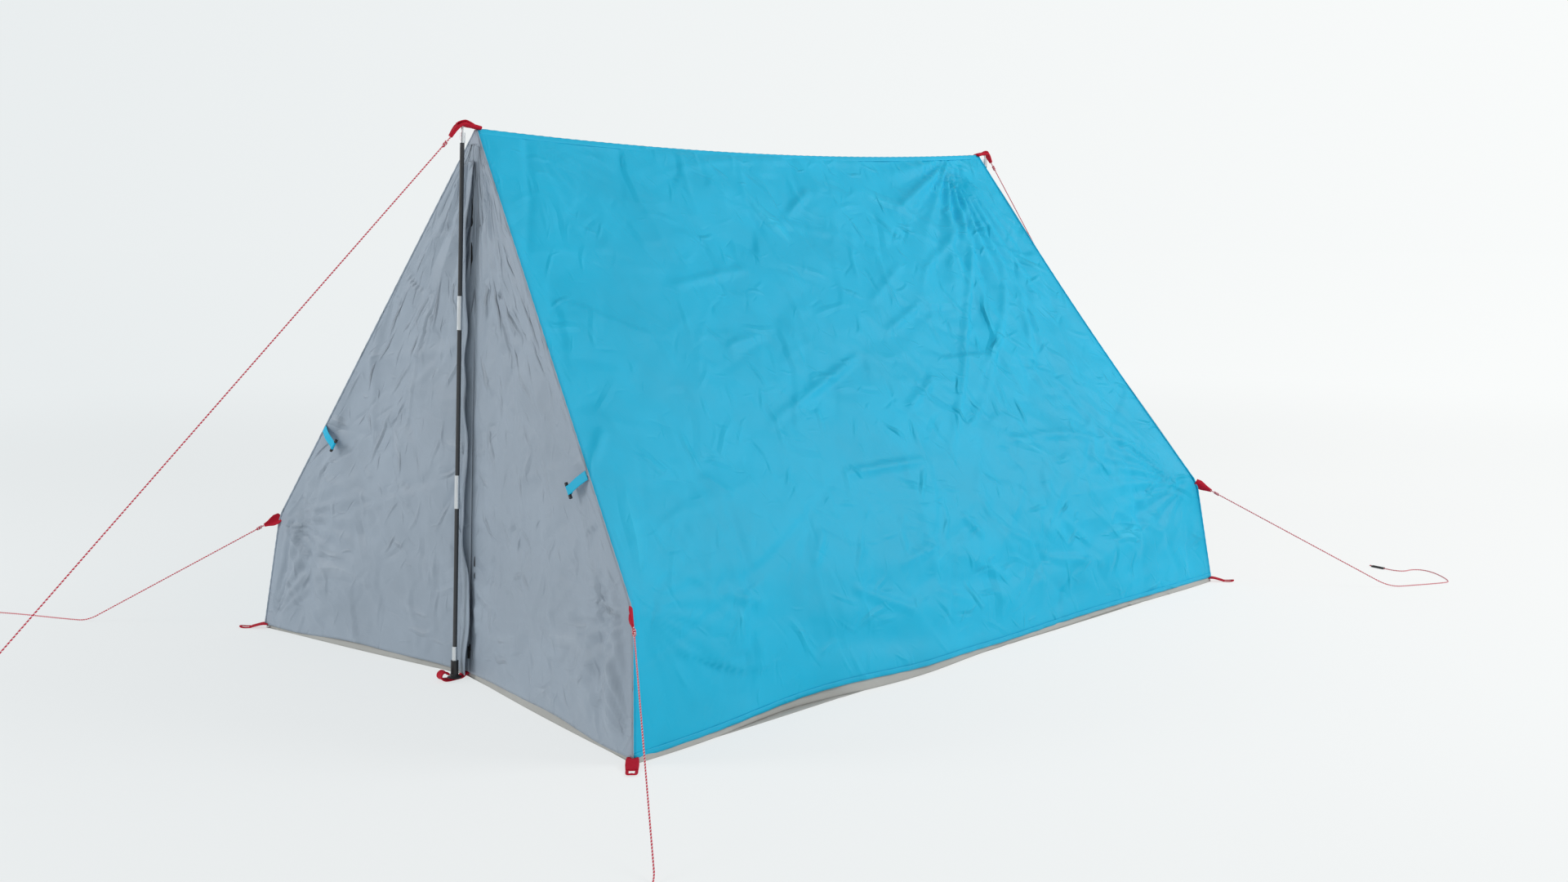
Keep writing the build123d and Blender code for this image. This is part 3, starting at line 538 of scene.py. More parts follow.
def cloth_piece(name, base, height, outwards, uv_size):
    """The base moved along its normal by height, faces turned outwards, with uv in metres of cloth."""
    normal = unit(cross(np.gradient(base, axis=0), np.gradient(base, axis=1)))
    if (normal.mean((0, 1)) * outwards).sum() < 0:
        normal = -normal
    rows, columns = base.shape[:2]
    points = base + normal * height[..., None]
    faces = grid_faces(rows, columns)
    i, j = rows // 2, columns // 2
    turned = cross(points[i, j + 1] - points[i, j], points[i + 1, j] - points[i, j])
    if (turned * outwards).sum() < 0:
        faces = faces[:, ::-1]
    down, along = unit_grid(rows, columns)
    piece = put_mesh(name, points, faces, joined(along * uv_size[0], down * uv_size[1]))
    wall = piece.modifiers.new("thickness", "SOLIDIFY")
    wall.thickness = CLOTH_THICKNESS
    wall.offset = -1
    return piece


def group(name, inputs, outputs):
    """An empty shader node group, its tree, its inputs as sockets to read and its end node."""
    tree = bpy.data.node_groups.new(name, "ShaderNodeTree")
    for way, sockets in (("INPUT", inputs), ("OUTPUT", outputs)):
        for label, kind in sockets.items():
            tree.interface.new_socket(label, in_out=way, socket_type="NodeSocket" + kind)
    return tree, tree.nodes.new("NodeGroupInput").outputs, tree.nodes.new("NodeGroupOutput")


def taffeta_group():
    """Plain weave: sin across times sin along at the thread pitch, with slubs from noise."""
    tree, given, out = group("taffeta_weave", {"UV": "Vector", "Threads": "Float"}, {"Height": "Float"})
    scaled = calc("SCALE", given["UV"], Scale=given["Threads"])
    parts = node(tree, "SeparateXYZ", Vector=scaled)
    plain = calc("MULTIPLY", calc("SINE", parts[0]), calc("SINE", parts[1]))
    slub = node(tree, "TexNoise", Vector=given["UV"], Scale=900.0, Detail=2.0)[0]
    feed(out, Height=calc("MULTIPLY_ADD", slub, 0.8, plain))
    return tree


def crease_group():
    """At each Voronoi point a turned fold, max(0, 1 - |across| / width), easing to 0 at its reach."""
    tree, given, out = group("packing_creases", {"Vector": "Vector", "Depth": "Float"}, {"Height": "Float"})
    total = 0.0
    for cell, shift, slope in CREASE_LAYERS:
        place = node(tree, "Mapping", Vector=given["Vector"], Location=(shift, shift, 0),
                     Scale=(1 / cell, 1 / cell, 1))[0]
        wander = node(tree, "TexNoise", {"noise_dimensions": "2D"}, Vector=place, Scale=0.9, Detail=1.0)
        warp = calc("SCALE", wander["Color"], Scale=0.35)
        place = calc("ADD", place, warp)
        near = node(tree, "TexVoronoi", {"voronoi_dimensions": "2D"}, Vector=place, Scale=1.0)
        own = node(tree, "SeparateXYZ", Vector=near["Color"])
        off = calc("SUBTRACT", place, near["Position"])
        turned = node(tree, "VectorRotate", {"rotation_type": "Z_AXIS"}, Vector=off,
                      Angle=calc("MULTIPLY", own[0], pi))[0]
        parts = node(tree, "SeparateXYZ", Vector=turned)
        crest = ranged(calc("ABSOLUTE", parts[1]), FOLD_WIDTH, 0.0)
        taper = ranged(calc("ABSOLUTE", parts[0]), FOLD_REACH, 0.0, smooth=True)
        lift = 0.13 * slope * cell
        fold = calc("MULTIPLY", crest, taper)
        fold = calc("MULTIPLY", fold, ranged(own[1], 0, 1, -lift, 1.6 * lift))
        total = calc("ADD", fold, total)
    feed(out, Height=calc("MULTIPLY", total, given["Depth"]))
    return tree


taffeta, packing = taffeta_group(), crease_group()


def cloth_material(name, colour, paler_colour, threads, crease_depth, roughness, sheen, front_share=1.0):
    """Satin cloth: weave bump over crease bump, paler along raised creases as wear and as painted highlight
    where the crests catch light, mottled and creased in patches.

    The creases are front_share as deep at the cloth's front edge and grow to full depth along its length."""
    material, tree, shader = new_material(name)
    uv = own_uv(tree)
    patch = node(tree, "TexNoise", Vector=own_place(tree), Scale=5.0, Detail=4.0, Roughness=0.6)[0]
    depth = ranged(patch, 0.36, 0.62, crease_depth * 0.35, crease_depth * 1.5)
    backwards = ranged(node(tree, "SeparateXYZ", Vector=uv)[0], 0.15, 1.3, front_share)
    depth = calc("MULTIPLY", depth, backwards)
    creases = node(tree, "Group", {"node_tree": packing}, Vector=uv, Depth=depth)[0]
    weave = node(tree, "Group", {"node_tree": taffeta}, UV=uv, Threads=threads)[0]
    # Raised crease crests take the paler colour: partly wear, partly painted highlight where the crests catch
    # light.
    crest_wear_and_highlight = mixed(ranged(creases, 0.0008, 0.006, 0, 0.5), colour, paler_colour)
    tone = ranged(patch, 0.3, 0.7, 0.94, 1.05)
    folds = node(tree, "Bump", Strength=1.0, Distance=1.0, Height=creases)[0]
    feed(shader, Base_Color=calc("SCALE", crest_wear_and_highlight, Scale=tone),
         Roughness=ranged(patch, 0, 1, roughness - 0.08, roughness + 0.1),
         Normal=node(tree, "Bump", Strength=0.35, Distance=0.0001, Height=weave, Normal=folds)[0],
         Sheen_Weight=sheen, Sheen_Roughness=0.4, Specular_IOR_Level=0.26)
    return material


blue_cloth = cloth_material("blue_taffeta", BLUE, BLUE_WEAR_AND_HIGHLIGHT, THREADS, 1.3, 0.45, 0.03, 0.4)
v, u = unit_grid(int(SIDE_WIDTH / CLOTH_STEP), int(SIDE_LENGTH / CLOTH_STEP))
s, t = u * SIDE_LENGTH, v * SIDE_WIDTH
to_rear = 0.45 + 0.55 * ease(s, 0.3, 1.5)
facets = ((0.01, 0, ((1, 0), (0, 1)), 0.26), (-0.0075, 2, ((0.8, 0.5), (-0.3, 0.9)), 0.13),
          (0.0055 * to_rear, 4, ((0.9, -0.4), (0.2, 1)), 0.062))
creases = ((0.0036 * to_rear, 6, 190, 0.14, 0.015), (0.0036, 8, 26, 0.5, 0.02))
fans = ((0.018, 0, (SIDE_LENGTH - 0.17, 0), 2.1, 1.1, 10, 0.3), (0.004, 1, (0.17, 0), 0.9, 0.9, 7, 0.18),
        (0.011, 2, (SIDE_LENGTH - 0.03, 1.12), 3.3, 1.1, 9, 0.26), (0.004, 3, (0.03, 1.12), 0.2, 1.1, 8, 0.2))
inner = ease(s, 0, 0.05) * ease(SIDE_LENGTH - s, 0, 0.05) * ease(t, 0, 0.03) * ease(SIDE_WIDTH - t, 0, 0.07)
for name, side, seed in (("right", 1, 11), ("left", -1, 47)):
    height = creased(s, t, seed, facets, creases, fans)
    for k, line in enumerate(LONG_CREASES):
        height += drawn_crease(s if side > 0 else SIDE_LENGTH - s, t, line, 0.006 if k % 3 else 0.0085, 0.017)
    height += 0.005 * sin(t * 46 + 1.5 * sin(s * 4)) * bump_at(t, 1.28, 0.12) * ease(s, 0.3, 0.9)
    sheet = cloth_piece(f"side_sheet_{name}", side_base(u, v, side), height * inner, (side, 0, 0.3),
                        (SIDE_LENGTH, SIDE_WIDTH))
    fit_piece(sheet, blue_cloth, "blue_cloth", stands_for=[f"roof_{name}", f"wall_{name}"])

# End walls. Each half is one piece of grey taffeta between the zip, or the rear seam, and the blue sheet's
# edge. The front halves are the doors, each bent along the line from the bottom corner to the ridge.
# The paler grey colours raised crease crests: partly wear, partly painted highlight where the crests catch
# light.
GREY, GREY_WEAR_AND_HIGHLIGHT = (0.315, 0.375, 0.445), (0.4, 0.46, 0.53)
SIDES, ENDS = (("left", -1), ("right", 1)), (("front", -1), ("rear", 1))
END_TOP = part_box("gusset_right")[1].z
END_FOOT = -0.5 * (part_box("foot_tab_front")[1].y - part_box("foot_tab_rear")[0].y)
END_SETBACK, GORE = 0.004, 0.019
ZIP_X = 0.5 * (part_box("zip_left")[1].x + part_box("zip_right")[0].x)
END_STEP = 0.0066
END_FACETS = ((0.01, 0, ((1, 0), (0, 1)), 0.2), (-0.0075, 2, ((0.9, 0.4), (-0.4, 1)), 0.1),
              (0.0048, 4, ((1, 0), (-0.3, 1)), 0.05))
END_CREASES = ((0.003, 6, 110, 0.13, 0.013), (0.0036, 8, 14, 0.4, 0.02))
END_FANS = ((0.01, 0, (0.7, 0.0), 1.9, 0.75, 11, 0.22), (0.009, 1, (0.66, 0.28), 3.5, 0.9, 8, 0.24),
            (0.006, 3, (0.02, 1.14), -1.25, 0.5, 6, 0.5))
grey_cloth = cloth_material("grey_taffeta", GREY, GREY_WEAR_AND_HIGHLIGHT, THREADS, 1.35, 0.41, 0.04)


def lerp(a, b, share):
    """a + (b - a) share, with share given for each point."""
    return a + (b - a) * share[..., None]


def middle_line(z, x, end):
    """The middle of an end wall, leaning in from its foot to just outside the ridge's end."""
    return joined(x, end * (END_FOOT - (END_FOOT - ridge_y - END_SETBACK) * z / ridge_z), z)


def fold_line(z, x, side, end):
    """The door's fold: straight from the bottom corner to the top of the gore, in the wall's own plane."""
    across = side * (corner_x + (GORE - corner_x) * z / END_TOP)
    lean = (corner_y - END_FOOT) / (corner_x * side - x)
    return joined(across, middle_line(z, x, end)[..., 1] + end * lean * (across - x), z)


def outer_line(z, side, end):
    """The edge sewn to the blue sheet: bottom corner to knee, then knee to the ridge's end."""
    low, knee = array([side * corner_x, end * corner_y, 0]), array([side * knee_x, end * knee_y, knee_z])
    wall = lerp(low, knee, clip(z / knee_z, 0, 1))
    slope = lerp(knee, array([0, end * ridge_y, ridge_z]), (z - knee_z) / (ridge_z - knee_z))
    return np.where((z < knee_z)[..., None], wall, slope)


def end_base(p, v, x, side, end, hem):
    """Middle line to fold line to outer line at each height, the fold softened by soft_step."""
    z = hem(p) * (1 - v) + END_TOP * v
    middle, fold, outer = middle_line(z, x, end), fold_line(z, x, side, end), outer_line(z, side, end)
    inner_width = np.linalg.norm(fold - middle, axis=-1)
    outer_width = np.linalg.norm(outer - fold, axis=-1) + 1e-5
    across = p * (inner_width + outer_width)
    width = 0.02 + 0.05 * ease(z, 0.1, 0.5) * ease(END_TOP - z, 0, 0.4)
    bend = soft_step(across - inner_width, width, -inner_width, outer_width)[..., None]
    inner_way = (fold - middle) / np.maximum(inner_width, 1e-4)[..., None]
    points = middle + inner_way * (across[..., None] - bend) + (outer - fold) / outer_width[..., None] * bend
    points[..., 1] -= REAR_DRAW * sin(pi * ease(z, knee_z, ridge_z)) * p**3 * (end > 0)
    return points


def door_hem(p):
    """The door's bottom edge: low at the zip and the corner, lifted a little between them."""
    return 0.009 + 0.007 * sin(pi * clip(p * 1.2, 0, 1)) ** 2 + 0.002 * sin(13 * p)


def rear_hem(p):
    """The rear wall's bottom edge over the turned-up rim of the groundsheet."""
    return 0.022 + 0.004 * sin(7 * p) * sin(pi * p)


v, p = unit_grid(int(END_TOP / END_STEP), int(corner_x / END_STEP))
for name, side, end in [(name, side, end) for _, end in ENDS for name, side in SIDES]:
    front = end < 0
    middle_x = ZIP_X if front else 0.0
    base = end_base(p, v, middle_x, side, end, door_hem if front else rear_hem)
    s, t = abs(base[..., 0] - middle_x), base[..., 2]
    edge = np.linalg.norm(base - base[:, -1:], axis=-1)
    inner = ease(edge, 0, 0.05) * ease(s, -0.01, 0.05) * ease(t, 0.0, 0.07) * ease(END_TOP - t, 0, 0.05)
    height = creased(s, t, 81 + 10 * side + end, END_FACETS, END_CREASES, END_FANS)
    height += 0.007 * sin(s * 9 + t * 3) * ease(t, 0.05, 0.4) * ease(END_TOP - t, 0.1, 0.6)
    height += 0.008 * sin(s * 62 + 2 * sin(t * 9)) * ease(s, 0.42, 0.62) * bump_at(t, 0.14, 0.12)
    piece_name = f"door_cloth_{name}" if front else f"rear_wall_cloth_{name}"
    sheet = cloth_piece(piece_name, base, height * inner, (0, end, 0), (0.72, 1.16))
    if not front:
        fit_piece(sheet, grey_cloth, "grey_cloth", stands_for=[f"rear_wall_{name}"])
        continue
    sheet.data.materials.append(grey_cloth)
    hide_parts(f"door_{name}", f"gusset_{name}")
    low, high = fold_line(array([0.0, END_TOP]), middle_x, side, end)
    along = unit(high - low)
    inward = array([middle_x, -END_FOOT, 0]) - low
    inward = unit(inward - along * (inward @ along))
    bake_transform(sheet)

# Ridge caps. A small triangle of the grey taffeta closes each end under the ridge, above the doors' zip and
# the rear seam, sewn in between the two blue sheets.
for where, end in ENDS:
    z = linspace(END_TOP - 0.006, ridge_z - 0.001, 9)
    left, right = outer_line(z, -1, end), outer_line(z, 1, end)
    cap_base = left[:, None] + (right - left)[:, None] * linspace(0, 1, 9)[None, :, None]
    cap = cloth_piece(f"ridge_cap_{where}", cap_base, np.full((9, 9), 0.0006), (0, end, 0), (0.04, 0.03))
    fit_piece(cap, grey_cloth, "grey_cloth")

# Ridge seam. Both blue sheets are folded together and top-stitched, which leaves a narrow raised band along
# the ridge that follows its sag.
BAND_HALF_WIDTH, BAND_RISE, BAND_POINTS = 0.0075, 0.0011, 260
y = linspace(-ridge_y, ridge_y, BAND_POINTS)[:, None]
sag = RIDGE_SAG * (1 - (y / ridge_y) ** 2)
slope = (ridge_z - knee_z) / knee_x
x = array([-1, -0.96, -0.5, -0.12, 0, 0.12, 0.5, 0.96, 1, 0.96, 0.5, 0, -0.5, -0.96]) * BAND_HALF_WIDTH
rise = array([0, 1, 1, 1.2, 1.5, 1.2, 1, 1, 0, -0.6, -0.6, -0.6, -0.6, -0.6]) * BAND_RISE
pucker = 1 + 0.25 * sin(y * 260) * (rise > 0)
rings = joined(x, y, ridge_z - sag - abs(x) * slope + rise * pucker)
band = closed_tube("ridge_seam_band", rings[:, ::-1], joined(linspace(0, 0.03, len(x)), y))
fit_piece(band, blue_cloth, "blue_cloth", stands_for=["ridge_seam"])

# Corner seams. Where a blue sheet meets an end wall the two are folded and stitched into a narrow welt, held
# down by one row of stitches on the blue side.
WELT, STITCH_PITCH, STITCH_THREAD = 0.0021, 0.0045, 0.00035


def smooth_tube(name, line, radii, sides=10):
    """A round tube round the line: the ring at each point lies across the line there, with radius radii."""
    ways, angle = circle_ways(line, sides, up=(0, 0.3, 1))
    rings = line[:, None] + ways * np.broadcast_to(radii, len(line))[:, None, None]
    return closed_tube(name, rings, joined(angle * 0.01, distances(line)[:, None]))


def stitch_row(name, line, outwards):
    """A short six-sided bead on the cloth for each stitch, its length 0.6 of the pitch."""
    line, marks = even_line(line, STITCH_PITCH)
    along = unit(np.gradient(line, axis=0))
    ways, _ = circle_ways(line, 6, up=outwards)
    ends = array([-0.3, -0.2, 0.2, 0.3])[:, None, None] * STITCH_PITCH
    fat = array([0.3, 1, 1, 0.3])[:, None, None] * STITCH_THREAD
    beads = line[:, None, None] + along[:, None, None] * ends + ways[:, None] * fat
    first = np.arange(len(line))[:, None] * 24
    faces = (first[..., None] + grid_faces(4, 6, wrap=True)[:, ::-1]).reshape(-1, 4)
    return put_mesh(name, beads, faces, caps=[*(first + np.arange(6)), *(first + np.arange(23, 17, -1))])


def thread_material(name, dark, pale):
    """Sewing thread, its twist a mottle between a dark and a pale shade."""
    material, tree, shader = new_material(name)
    twist = node(tree, "TexNoise", Vector=own_place(tree), Scale=400.0)[0]
    feed(shader, Base_Color=mixed(twist, dark, pale), Roughness=0.6)
    return material


blue_thread = thread_material("polyester_thread", (0.02, 0.3, 0.52), (0.05, 0.42, 0.66))
z = concatenate([linspace(ridge_z - 0.003, knee_z + 0.012, 150), linspace(knee_z - 0.012, 0.011, 50)])
for where, end in ENDS:
    for name, side in SIDES:
        seam_line = outer_line(z, side, end)
        if end > 0:
            seam_line[:, 1] -= REAR_DRAW * sin(pi * clip((ridge_z - z) / (ridge_z - knee_z), 0, 1))
        ripple = 1 + 0.12 * sin(np.arange(len(z)) * 1.7)
        welt = smooth_tube(f"corner_seam_{name}_{where}", seam_line, WELT * ripple)
        inset = array([side * 0.0008, -end * 0.0075, 0.0012])
        stitches = stitch_row(f"corner_stitches_{name}_{where}", seam_line + inset, (side, 0, 0.6))
        fit_piece(welt, *((grey_cloth, "grey_cloth") if end < 0 else (blue_cloth, "blue_cloth")))
        fit_piece(stitches, blue_thread, "blue_cloth")

# Hem binding. The bottom edge of each blue sheet is turned up twice into a narrow doubled band of its own
# taffeta, held by one row of stitches.
BINDING, HEM_STITCH_RISE = 0.011, 0.008
y = linspace(-corner_y + 0.004, corner_y - 0.004, 300)
out, z = hem_reach(y) + 0.0005 * sin(y * 90 + sin(y * 23)), hem_height(y)
lean = (corner_x - knee_x) / knee_z
off = array([0.0004, 0.0016, 0.0016, 0.0004, -0.0008, -0.0008])
up = array([-0.0005, 0.0002, 0.9, 1.0, 0.9, 0.0]) * BINDING
for name, side in SIDES:
    rings = joined(side * (out[:, None] + off - up * lean), y[:, None], z[:, None] + up)
    binding = closed_tube(f"hem_binding_{name}", rings[:, ::side], joined(up, y[:, None]))
    row_line = joined(side * (out + 0.0017 - HEM_STITCH_RISE * lean), y, z + HEM_STITCH_RISE)
    fit_piece(binding, blue_cloth, "blue_cloth")
    fit_piece(stitch_row(f"hem_stitches_{name}", row_line, (side, 0, 0.1)), blue_thread, "blue_cloth")

# Groundsheet. Matt woven polyethylene, welded to one sheet, that lies on the floor and turns up inside the
# walls as a low rim, sewn to the hems.
# The paler grey colours raised crease crests on the groundsheet: partly wear, partly painted highlight where
# the crests catch light.
FLOOR_GREY, FLOOR_WEAR_AND_HIGHLIGHT = (0.42, 0.42, 0.4), (0.56, 0.56, 0.54)
RIM_STEP, RIM_LAP = 0.008, 0.01
floor_cloth = cloth_material("groundsheet_pe", FLOOR_GREY, FLOOR_WEAR_AND_HIGHLIGHT, 3500.0, 0.6, 0.62, 0.0)
u, v = unit_grid(150, 110)
u, v = 2 * u - 1, 2 * v - 1
end_reach = END_FOOT + (corner_y - END_FOOT) * abs(v) - 0.002
base = joined(v * (corner_x - 0.003), u * end_reach, 0.0006)
wrinkle = 0.0016 * (crumple(base[..., 0], base[..., 1], 0.16, 5) + 0.4)
wrinkle += 0.0012 * abs(sharp_creases(base[..., 0], base[..., 1], 50, 0.3, 0.02, 6))
ground = cloth_piece("groundsheet_cloth", base, clip(wrinkle, 0, 1), (0, 0, 1), (1.4, 2.08))
fit_piece(ground, floor_cloth, "floor_cloth", stands_for=["groundsheet"])


def rim_strip(name, low, high, outwards, seed, stands_for=()):
    """A strip between a low and a high line, bellied outwards by sin over its height and rippled along it."""
    share = linspace(0, 1, 9)
    base = low[:, None] + (high - low)[:, None] * share[None, :, None]
    along = np.arange(len(low)) * RIM_STEP
    ripple = 0.0018 * sin(along * 31 + seed) * sin(along * 11 + 2 * seed)
    height = (0.0015 + ripple)[:, None] * sin(pi * share)
    strip = cloth_piece(name, base, height, outwards, (0.035, len(low) * RIM_STEP))
    return fit_piece(strip, floor_cloth, "floor_cloth", stands_for=stands_for)


for name, side in SIDES:
    y = linspace(-corner_y + 0.006, corner_y - 0.006, 260)
    out = hem_reach(y) - 0.0015
    low = joined(side * (out + 0.006 * sin(y * 5) ** 2), y, 0.0012)
    high = joined(side * (out - 0.0055), y, hem_height(y) + RIM_LAP)
    strip = rim_strip(f"rim_{name}", low, high, (side, 0, 0), side, ["groundsheet_rim"])
    for where, end in ENDS:
        share = linspace(0.01, 0.985, 90)
        y = END_FOOT + (corner_y - END_FOOT) * share - 0.004
        foot = joined(side * share * corner_x, end * y, 0.001)
        head = foot + joined(0, -end * 0.004, 0.014 + 0.01 * sin(pi * share) if end < 0 else 0.034)
        foot[:, 1] += end * 0.006 * sin(pi * share)
        strip = rim_strip(f"rim_{name}_{where}", foot, head, (0, end, 0), side + end)

# Storm flap. A doubled strip of grey taffeta sewn to the left door, standing off the zip with a slack, wavy
# free edge that has a rolled hem.
FLAP_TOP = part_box("storm_flap")[1].z
FLAP_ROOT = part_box("storm_flap")[0].x - 0.008
FLAP_FOOT, FLAP_HEM = 0.01, 0.0011
FLAP_EDGE_Z = (0, 0.021, 0.088, 0.13, 0.171, 0.231, 0.3, 0.373, 0.516, 0.71, 0.884, 1.005, 1.06, 1.108, 1.14)
FLAP_EDGE_X = (20, 24, 34, 36, 36, 18, 8, 6, 12, 2, -1, 2, 5, 8, 12)
v, p = unit_grid(260, 26)
z = FLAP_FOOT + (FLAP_TOP - FLAP_FOOT) * v
free = np.interp(z[:, 0], FLAP_EDGE_Z, array(FLAP_EDGE_X) * 0.001)
free = np.convolve(np.pad(free, 6, mode="edge"), np.ones(13) / 13, mode="valid") + 0.0012 * sin(z[:, 0] * 61)
stand = 0.0125 + 0.003 * sin(z * 21 + 1) + 0.002 * sin(z * 47) + 0.006 * bump_at(z, 0.11, 0.07)
stand = stand * ease(FLAP_TOP + 0.02 - z, 0, 0.1) + 0.0015
x = FLAP_ROOT + (free[:, None] - FLAP_ROOT) * p
belly = stand * (p**1.3) + 0.0045 * sin(pi * p) * (1 + 0.4 * sin(z * 33))
y = middle_line(z, ZIP_X, -1)[..., 1] - 0.0012 - belly
height = 0.0012 * crumple(x, z, 0.035, 3) * ease(p, 0, 0.2) + 0.0012 * (abs(p - 0.93) < 0.05)
flap = cloth_piece("storm_flap_cloth", joined(x, y, z), height, (0, -1, 0), (0.04, 1.1))
roll = smooth_tube("storm_flap_hem", joined(x[:, -1], y[:, -1] - 0.0006, z[:, -1]), FLAP_HEM)
seam = stitch_row("storm_flap_stitches", joined(x[:, 3], y[:, 3] - 0.0008, z[:, 3]), (0, -1, 0))
grey_thread = thread_material("grey_thread", (0.24, 0.26, 0.31), (0.42, 0.44, 0.5))
fit_piece(flap, grey_cloth, "grey_cloth", "door_left", ["storm_flap"])
fit_piece(roll, grey_cloth, "grey_cloth", "door_left")
fit_piece(seam, grey_thread, "grey_cloth", "door_left")
for piece in (flap, roll, seam):
    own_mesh(piece)

# Zip. Each door edge carries a black woven polyester tape, sewn on behind the cloth, with a row of nylon coil
# teeth along its free edge.
TOOTH_PITCH = 0.0024
TOOTH = (0.0016, 0.002, 0.0013)
TAPE_POINTS = 240
zip_tape, tree, shader = new_material("zip_tape")
weave = node(tree, "Group", {"node_tree": taffeta}, UV=own_uv(tree), Threads=5200.0)[0]
# The tape darkens where the weave height is low, the same height as its bump: painted shade in the weave's
# hollows.
feed(shader, Base_Color=ranged(weave, -1.0, 1.0, 0.01, 0.03), Roughness=0.8,
     Normal=node(tree, "Bump", Strength=0.6, Distance=0.0002, Height=weave)[0])
zip_teeth, tree, shader = new_material("zip_teeth")
scuff = node(tree, "TexNoise", Vector=own_place(tree), Scale=260.0, Detail=3.0)[0]
feed(shader, Roughness=ranged(scuff, 0, 1, 0.28, 0.5), Base_Color=ranged(scuff, 0, 1, 0.012, 0.03))
offsets = array([0.0012, 0.004, 0.009, 0.016, 0.016, 0.009, 0.004, 0.0012])
depth = array([0, 0, 0.0001, 0.0002, 0.0009, 0.0008, 0.0007, 0.0007]) + 0.0014
block = array([[i, j, k] for k in (-0.5, 0.5) for j in (-0.5, 0.5) for i in (-0.5, 0.5)])
block = block * np.where(block[:, 2:] > 0, 0.8, 1.0) * TOOTH
block_faces = array([[0, 2, 3, 1], [4, 5, 7, 6], [0, 1, 5, 4], [2, 6, 7, 3], [0, 4, 6, 2], [1, 3, 7, 5]])
for name, side in SIDES:
    low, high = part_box(f"zip_{name}")
    z = linspace(low.z, high.z, TAPE_POINTS)[:, None]
    inner_x = high.x if side < 0 else low.x
    lean = (corner_y - END_FOOT) / (corner_x - side * ZIP_X)
    x = inner_x + side * offsets
    rings = joined(x, middle_line(z, ZIP_X, -1)[..., 1] - lean * abs(x - ZIP_X) + depth, z)
    tape = closed_tube(f"zip_tape_{name}", rings[:, ::side], joined(offsets, z))
    marks = np.arange(low.z + 0.004, high.z - 0.004, TOOTH_PITCH) + (TOOTH_PITCH / 2 if side > 0 else 0)
    centre = joined(inner_x + side * 0.0009, middle_line(marks, ZIP_X, -1)[:, 1] + 0.0012, marks)
    faces = (np.arange(len(marks))[:, None, None] * 8 + block_faces).reshape(-1, 4)
    coil = put_mesh(f"zip_teeth_{name}", centre[:, None] + block, faces, smooth=False)
    fit_piece(tape, zip_tape, "zip_black", f"door_{name}", [f"zip_{name}"])
    fit_piece(coil, zip_teeth, "zip_black", f"door_{name}")

# Webbing. Red woven polyester tape: the tabs at both ridge ends, the knees, the corners and the poles' feet,
# folded over and sewn into the seams.
# The darker red is the same red at 0.72: painted shade for the weave's hollows.
RED, RED_HOLLOW_SHADE = (0.6, 0.003, 0.028), (0.432, 0.00216, 0.02016)
RIB_PITCH, TWILL_PITCH, STRAP_STEP = 0.0016, 0.0022, 0.0016
TIP_Y, POLE_FOOT_Y = 0.9, 0.96
CORNER_TAB_TURN = radians(42)
red_webbing, tree, shader = new_material("red_webbing")
parts = node(tree, "SeparateXYZ", Vector=own_uv(tree))
ribs = calc("MULTIPLY", parts[1], 2 * pi / RIB_PITCH)
twill = calc("SINE", calc("MULTIPLY_ADD", parts[0], 2 * pi / TWILL_PITCH, ribs))
weave = calc("MULTIPLY_ADD", twill, 0.6, calc("SINE", ribs))
# The red darkens where the weave's height is low, the same height as its bump: painted shade in the weave's
# hollows.
feed(shader, Base_Color=mixed(ranged(weave, -1.4, 1.4), RED_HOLLOW_SHADE, RED), Roughness=0.7,
     Normal=node(tree, "Bump", Strength=0.7, Distance=0.0003, Height=weave)[0], Specular_IOR_Level=0.25)


def strap(name, line, widths, across, thickness, cup, stands_for=(), dress=(red_webbing, "red_webbing")):
    """A band along a smooth line: a flat rounded ring at each point, wide as widths, bent by cup x^2.

    across is the way of the band's width, or a function that gives it from the line's direction."""
    line, marks = even_line(smooth_line(array(line)), STRAP_STEP)
    wide = np.interp(marks / marks[-1], linspace(0, 1, len(widths)), widths)[:, None] / 2
    along = unit(np.gradient(line, axis=0))
    across = across(along) if callable(across) else np.broadcast_to(np.asarray(across, float), along.shape)
    level = unit(across - (along * across).sum(-1, keepdims=True) * along)
    top = linspace(-1, 1, 13)
    edge = clip((1 - abs(top)) * 8, 0.25, 1)
    ring_x, ring_z = concatenate([top, top[::-1]]), concatenate([edge, -edge[::-1]]) * thickness / 2
    rise = (ring_z + cup * ring_x**2 * wide)[..., None]
    rings = line[:, None] + level[:, None] * (ring_x * wide)[..., None] + cross(level, along)[:, None] * rise
    band = closed_tube(name, rings, joined(ring_x * wide, marks[:, None]))
    return fit_piece(band, *dress, stands_for=stands_for)


